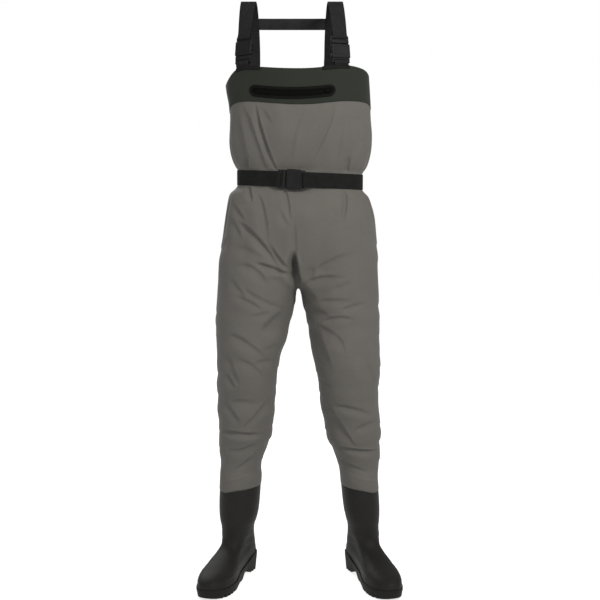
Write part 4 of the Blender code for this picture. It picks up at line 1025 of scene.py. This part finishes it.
def band_run(node):
    """A band's path as band_path gives it, made smooth and close-set."""
    rings = bar_rings(node) if node == "back_crossbar" else band_rings(node)
    centres, across, out, width, wall = band_path(rings)
    spans = np.linalg.norm(np.diff(centres, axis=0), axis=1)
    steps = np.maximum(1, np.round(spans / BAND_STEP)).astype(int)
    centres, across, out = (smooth_rows(rows, steps) for rows in (centres, across, out))
    across /= np.linalg.norm(across, axis=1)[:, None]
    out /= np.linalg.norm(out, axis=1)[:, None]
    return centres, across, out, width, wall


def stitch_box(centres, across, out, width, wall):
    """Where the stitches lie in a box over the first end of a band, on the face that looks backwards."""
    spans = np.linalg.norm(np.diff(centres, axis=0), axis=1)
    run = np.concatenate([[0.0], np.cumsum(spans)])
    path = np.hstack([centres, np.gradient(centres, run, axis=0), across, out * np.sign(out[:, 1:2])])
    near, far, half = STITCH_INSET, STITCH_INSET + STITCH_BOX, width / 2 - STITCH_INSET
    corners = [(near, -half), (far, -half), (far, half), (near, half), (near, -half)]
    places = []
    for (start, low), (end, high) in zip(corners, corners[1:]):
        count = round(math.hypot(end - start, high - low) / STITCH_STEP)
        for share in (np.arange(count) + 0.5) / count:
            row = [np.interp(start + (end - start) * share, run, column) for column in path.T]
            centre, ahead, side, face = (Vector(row[k : k + 3]) for k in (0, 3, 6, 9))
            aim = (ahead * (end - start) + side * (high - low)).normalized()
            turn = Matrix((aim, face.cross(aim), face)).transposed().to_4x4()
            seat = centre + side * (low + (high - low) * share) + face * wall / 2
            places.append(Matrix.Translation(seat) @ turn)
    return places


def make_stitches(runs, material):
    """Sewn boxes where the straps end on the bib's back and where the crossbar ends on the straps."""
    places = []
    for node, (centres, across, out, width, wall) in runs.items():
        for order in (slice(None), slice(None, None, -1)):
            at_back = centres[order][0, 1] > centres[order][-1, 1]
            if node == "back_crossbar" or at_back:
                places += stitch_box(centres[order], across[order], out[order], width, wall)
    finish_piece(set_copies("webbing_stitches", small_bar(STITCH), places, material), "webbing")


def front_edge(skin):
    """Points and normals along the front of the bib's top edge, from the wearer's right to the left."""
    work = bmesh.new()
    work.from_mesh(skin)
    edge = sorted(upper_ring(work), key=lambda vert: vert.co.x)
    edge = [(*vert.co, *vert.normal) for vert in edge if vert.normal.y < FORWARD_EDGE]
    work.free()
    return np.array(edge)


def make_strap_bases(skin, material):
    """A short webbing strip on the bib's top edge, where each strap is sewn on."""
    edge = front_edge(skin)
    for side, (start, end) in STRAP_BASES.items():
        x = np.arange(start, end, BAND_STEP)
        rows = np.stack([np.interp(x, edge[:, 0], column) for column in edge.T], 1)
        centres, out = rows[:, :3], rows[:, 3:]
        out = out / np.linalg.norm(out, axis=1)[:, None]
        along = np.gradient(centres, axis=0)
        across = np.cross(along, out)
        across /= np.linalg.norm(across, axis=1)[:, None]
        across *= np.sign(across[:, 2:])
        seat = YOKE_LIFT * 2 + YOKE_WALL + STRAP_BASE_WALL / 2
        centres = centres + out * seat - across * STRAP_BASE_WIDTH * STRAP_BASE_DROP
        piece = band_mesh("strap_base_" + side, centres, across, out, STRAP_BASE_WIDTH, STRAP_BASE_WALL)
        piece.data.materials.append(material)
        finish_piece(piece, "webbing")


def band_mesh(name, centres, across, out, width, wall):
    """A woven band along a path, with round edges and a UV map in metres."""
    run = np.concatenate([[0.0], np.cumsum(np.linalg.norm(np.diff(centres, axis=0), axis=1))])
    profile = np.array(BAND_PROFILE) * (width / 2, wall / 2)
    points = centres[:, None] + across[:, None] * profile[None, :, :1] + out[:, None] * profile[None, :, 1:]
    return tube_mesh(name, points, profile[:, 0], run)


def tube_mesh(name, points, around, along):
    """A closed tube through rings of points, with a UV map of the given distances around and along."""
    rows, count = points.shape[:2]
    work = bmesh.new()
    rings = [[work.verts.new(point) for point in ring] for ring in points]
    uv = work.loops.layers.uv.new("band")
    for k in range(rows - 1):
        for i in range(count):
            j = (i + 1) % count
            face = work.faces.new((rings[k][i], rings[k][j], rings[k + 1][j], rings[k + 1][i]))
            for loop, (a, b) in zip(face.loops, ((k, i), (k, j), (k + 1, j), (k + 1, i))):
                loop[uv].uv = (around[b], along[a])
    work.faces.new(list(reversed(rings[0])))
    work.faces.new(rings[-1])
    bmesh.ops.recalc_face_normals(work, faces=work.faces)
    mesh = finished_mesh(work, name)
    mesh.shade_smooth()
    mesh.set_sharp_from_angle(angle=BAND_ANGLE)
    return placed(name, mesh)


def make_webbing(materials):
    """The belt, the shoulder straps with their tabs, and the crossbar behind the shoulders."""
    # The crossbar takes the webbing whose colour is painted lighter, as painted light against the shade on
    # its forward face
    bands = {"wading_belt": "belt_webbing", "back_crossbar": "bar_webbing_painted_light"}
    for side in SIDES:
        bands["shoulder_strap_" + side] = "strap_webbing"
        bands["strap_tab_" + side] = "strap_webbing"
    runs = {node: band_run(node) for node in bands}
    for node, finish in bands.items():
        piece = band_mesh(node + "_dressed", *runs[node])
        piece.data.materials.append(materials[finish])
        finish_piece(piece, "webbing", node)
    sewn = ("back_crossbar", "shoulder_strap_right", "shoulder_strap_left")
    make_stitches({node: runs[node] for node in sewn}, materials["sewing_thread"])


# Buckles, zip and soles


def flat_copy(node, name, material):
    """A copy of a hard solid, with its flat faces whole again."""
    piece = worked_copy(node, name)
    take(piece)
    bpy.ops.object.mode_set(mode="EDIT")
    bpy.ops.mesh.select_all(action="SELECT")
    bpy.ops.mesh.dissolve_limited(angle_limit=FLAT_ANGLE)
    bpy.ops.object.mode_set(mode="OBJECT")
    piece.data.materials.append(material)
    return piece


def soften(piece, width, segments=2):
    """Rounds a piece's edges."""
    edge = piece.modifiers.new("round", "BEVEL")
    edge.width = width
    edge.segments = segments
    edge.limit_method = "ANGLE"
    edge.angle_limit = ROUND_ANGLE
    edge.harden_normals = False
    apply_modifiers(piece)
    take(piece)
    bpy.ops.object.shade_smooth_by_angle(angle=SMOOTH_ANGLE)


def front_face(mesh):
    """The number of the largest face that looks forwards."""
    forward = [face for face in mesh.polygons if face.normal.y < FORWARD_FACE]
    return max(forward, key=lambda face: face.area).index


def sink_panel(piece, inset, depth):
    """Presses a shallow panel into a piece's front face."""
    take(piece)
    select_face(piece.data, front_face(piece.data))
    bpy.ops.object.mode_set(mode="EDIT")
    bpy.ops.mesh.inset(thickness=inset, depth=0.0)
    bpy.ops.mesh.inset(thickness=depth, depth=-depth)
    bpy.ops.object.mode_set(mode="OBJECT")


def make_buckles(materials):
    """Each half of the three buckles, with rounded edges and a pressed panel in front."""
    names = ["belt_buckle"] + ["strap_buckle"] * 2
    ends = ["", "_right", "_left"]
    for name, end in zip(names, ends):
        for half, inset in BUCKLE_INSETS.items():
            node = f"{name}_{half}{end}"
            piece = flat_copy(node, node + "_dressed", materials["buckle_plastic"])
            sink_panel(piece, inset, BUCKLE_PRESS)
            soften(piece, BUCKLE_EDGE)
            finish_piece(piece, "buckle_plastic", node)


def make_pocket(materials):
    """The welded frame round the chest pocket, its zip and the slider."""
    for node, edge in POCKET_EDGES.items():
        finish = "zip_trim" if node == "pocket_window_frame" else "zip_tape"
        piece = flat_copy(node, node + "_dressed", materials[finish])
        if node == "pocket_zip":
            make_zip_teeth(piece, materials["zip_trim"])
        soften(piece, edge)
        finish_piece(piece, "buckle_plastic" if "slider" in node else "zip_trim", node)


def small_bar(size):
    """The mesh of a small bar with rounded edges, such as a tooth or a stitch."""
    deselect()
    bpy.ops.mesh.primitive_cube_add(size=1.0)
    bar = bpy.context.active_object
    bar.scale = size
    bpy.ops.object.transform_apply(location=False, rotation=False, scale=True)
    bpy.ops.object.mode_set(mode="EDIT")
    bpy.ops.mesh.select_all(action="SELECT")
    bpy.ops.mesh.bevel(offset=min(size) / 4, segments=1)
    bpy.ops.object.mode_set(mode="OBJECT")
    mesh = bar.data
    bpy.data.objects.remove(bar)
    return mesh


def set_copies(name, bar, places, material):
    """One piece of many copies of a small bar, each at its place."""
    work = bmesh.new()
    for place in places:
        before = len(work.verts)
        work.from_mesh(bar)
        work.verts.ensure_lookup_table()
        bmesh.ops.transform(work, matrix=place, verts=work.verts[before:])
    mesh = finished_mesh(work, name)
    mesh.materials.append(material)
    return placed(name, mesh)


def make_zip_teeth(tape, material):
    """The closed teeth along the zip's ridge, set up and down in turn."""
    ridge = BVHTree.FromObject(tape, bpy.context.evaluated_depsgraph_get())
    places = []
    for k, x in enumerate(np.arange(*ZIP_ENDS, ZIP_PITCH)):
        z = ZIP_MIDDLE[1] - ZIP_SAG * (1.0 - ((x - ZIP_MIDDLE[0]) / ZIP_REACH) ** 2)
        seat, out, _, _ = ridge.ray_cast(Vector((x, CAMERA_PLACE[1], z)), Vector((0.0, 1.0, 0.0)))
        turn = out.to_track_quat("-Y", "Z").to_matrix().to_4x4()
        shift = Matrix.Translation((0.0, 0.0, ZIP_STAGGER * (-1) ** k))
        places.append(Matrix.Translation(seat) @ turn @ shift)
    finish_piece(set_copies("zip_teeth", small_bar(ZIP_TOOTH), places, material), "zip_trim")


def crease_boot(mesh, side):
    """Presses the boot's creases into its outer wall."""
    x, y, turn = BOOT_PLACES[side]
    turn = math.radians(turn) * SIDES[side]
    forward = np.array((math.sin(turn), -math.cos(turn), 0.0))
    points, normals = points_of(mesh), normals_of(mesh)
    length = (points - (x, y, 0.0)) @ forward + SHAFT_AXIS
    inside = np.clip(length, *FOOT_LINE) - SHAFT_AXIS
    middle = np.array((x, y, 0.0)) + forward * inside[:, None]
    outer = smooth01(((points - middle)[:, :2] * normals[:, :2]).sum(1) / OUTER_DEPTH + normals[:, 2])
    height = fold_height(np.stack([length, points[:, 2]], 1), BOOT_FOLDS) * outer
    set_points(mesh, points + normals * height[:, None])


def make_boots(materials):
    """The moulded uppers, their soles and insoles."""
    for side in SIDES:
        upper = worked_copy("boot_upper_" + side, f"boot_upper_{side}_dressed")
        hold_form(upper)
        subdivide_piece(upper)
        crease_boot(upper.data, side)
        upper.data.materials.append(materials["boot_rubber"])
        finish_piece(upper, "boot_rubber", "boot_upper_" + side)
        sole = flat_copy("outsole_" + side, f"outsole_{side}_dressed", materials["sole_rubber"])
        soften(sole, SOLE_EDGE)
        finish_piece(sole, "sole_rubber", "outsole_" + side)
        insole = flat_copy("insole_" + side, f"insole_{side}_dressed", materials["insole_felt"])
        soften(insole, INSOLE_EDGE)
        finish_piece(insole, "insole_felt", "insole_" + side)


def main():
    make_camera()
    make_studio()
    materials = make_materials()
    make_cloth(materials)
    make_webbing(materials)
    make_buckles(materials)
    make_pocket(materials)
    make_boots(materials)


main()
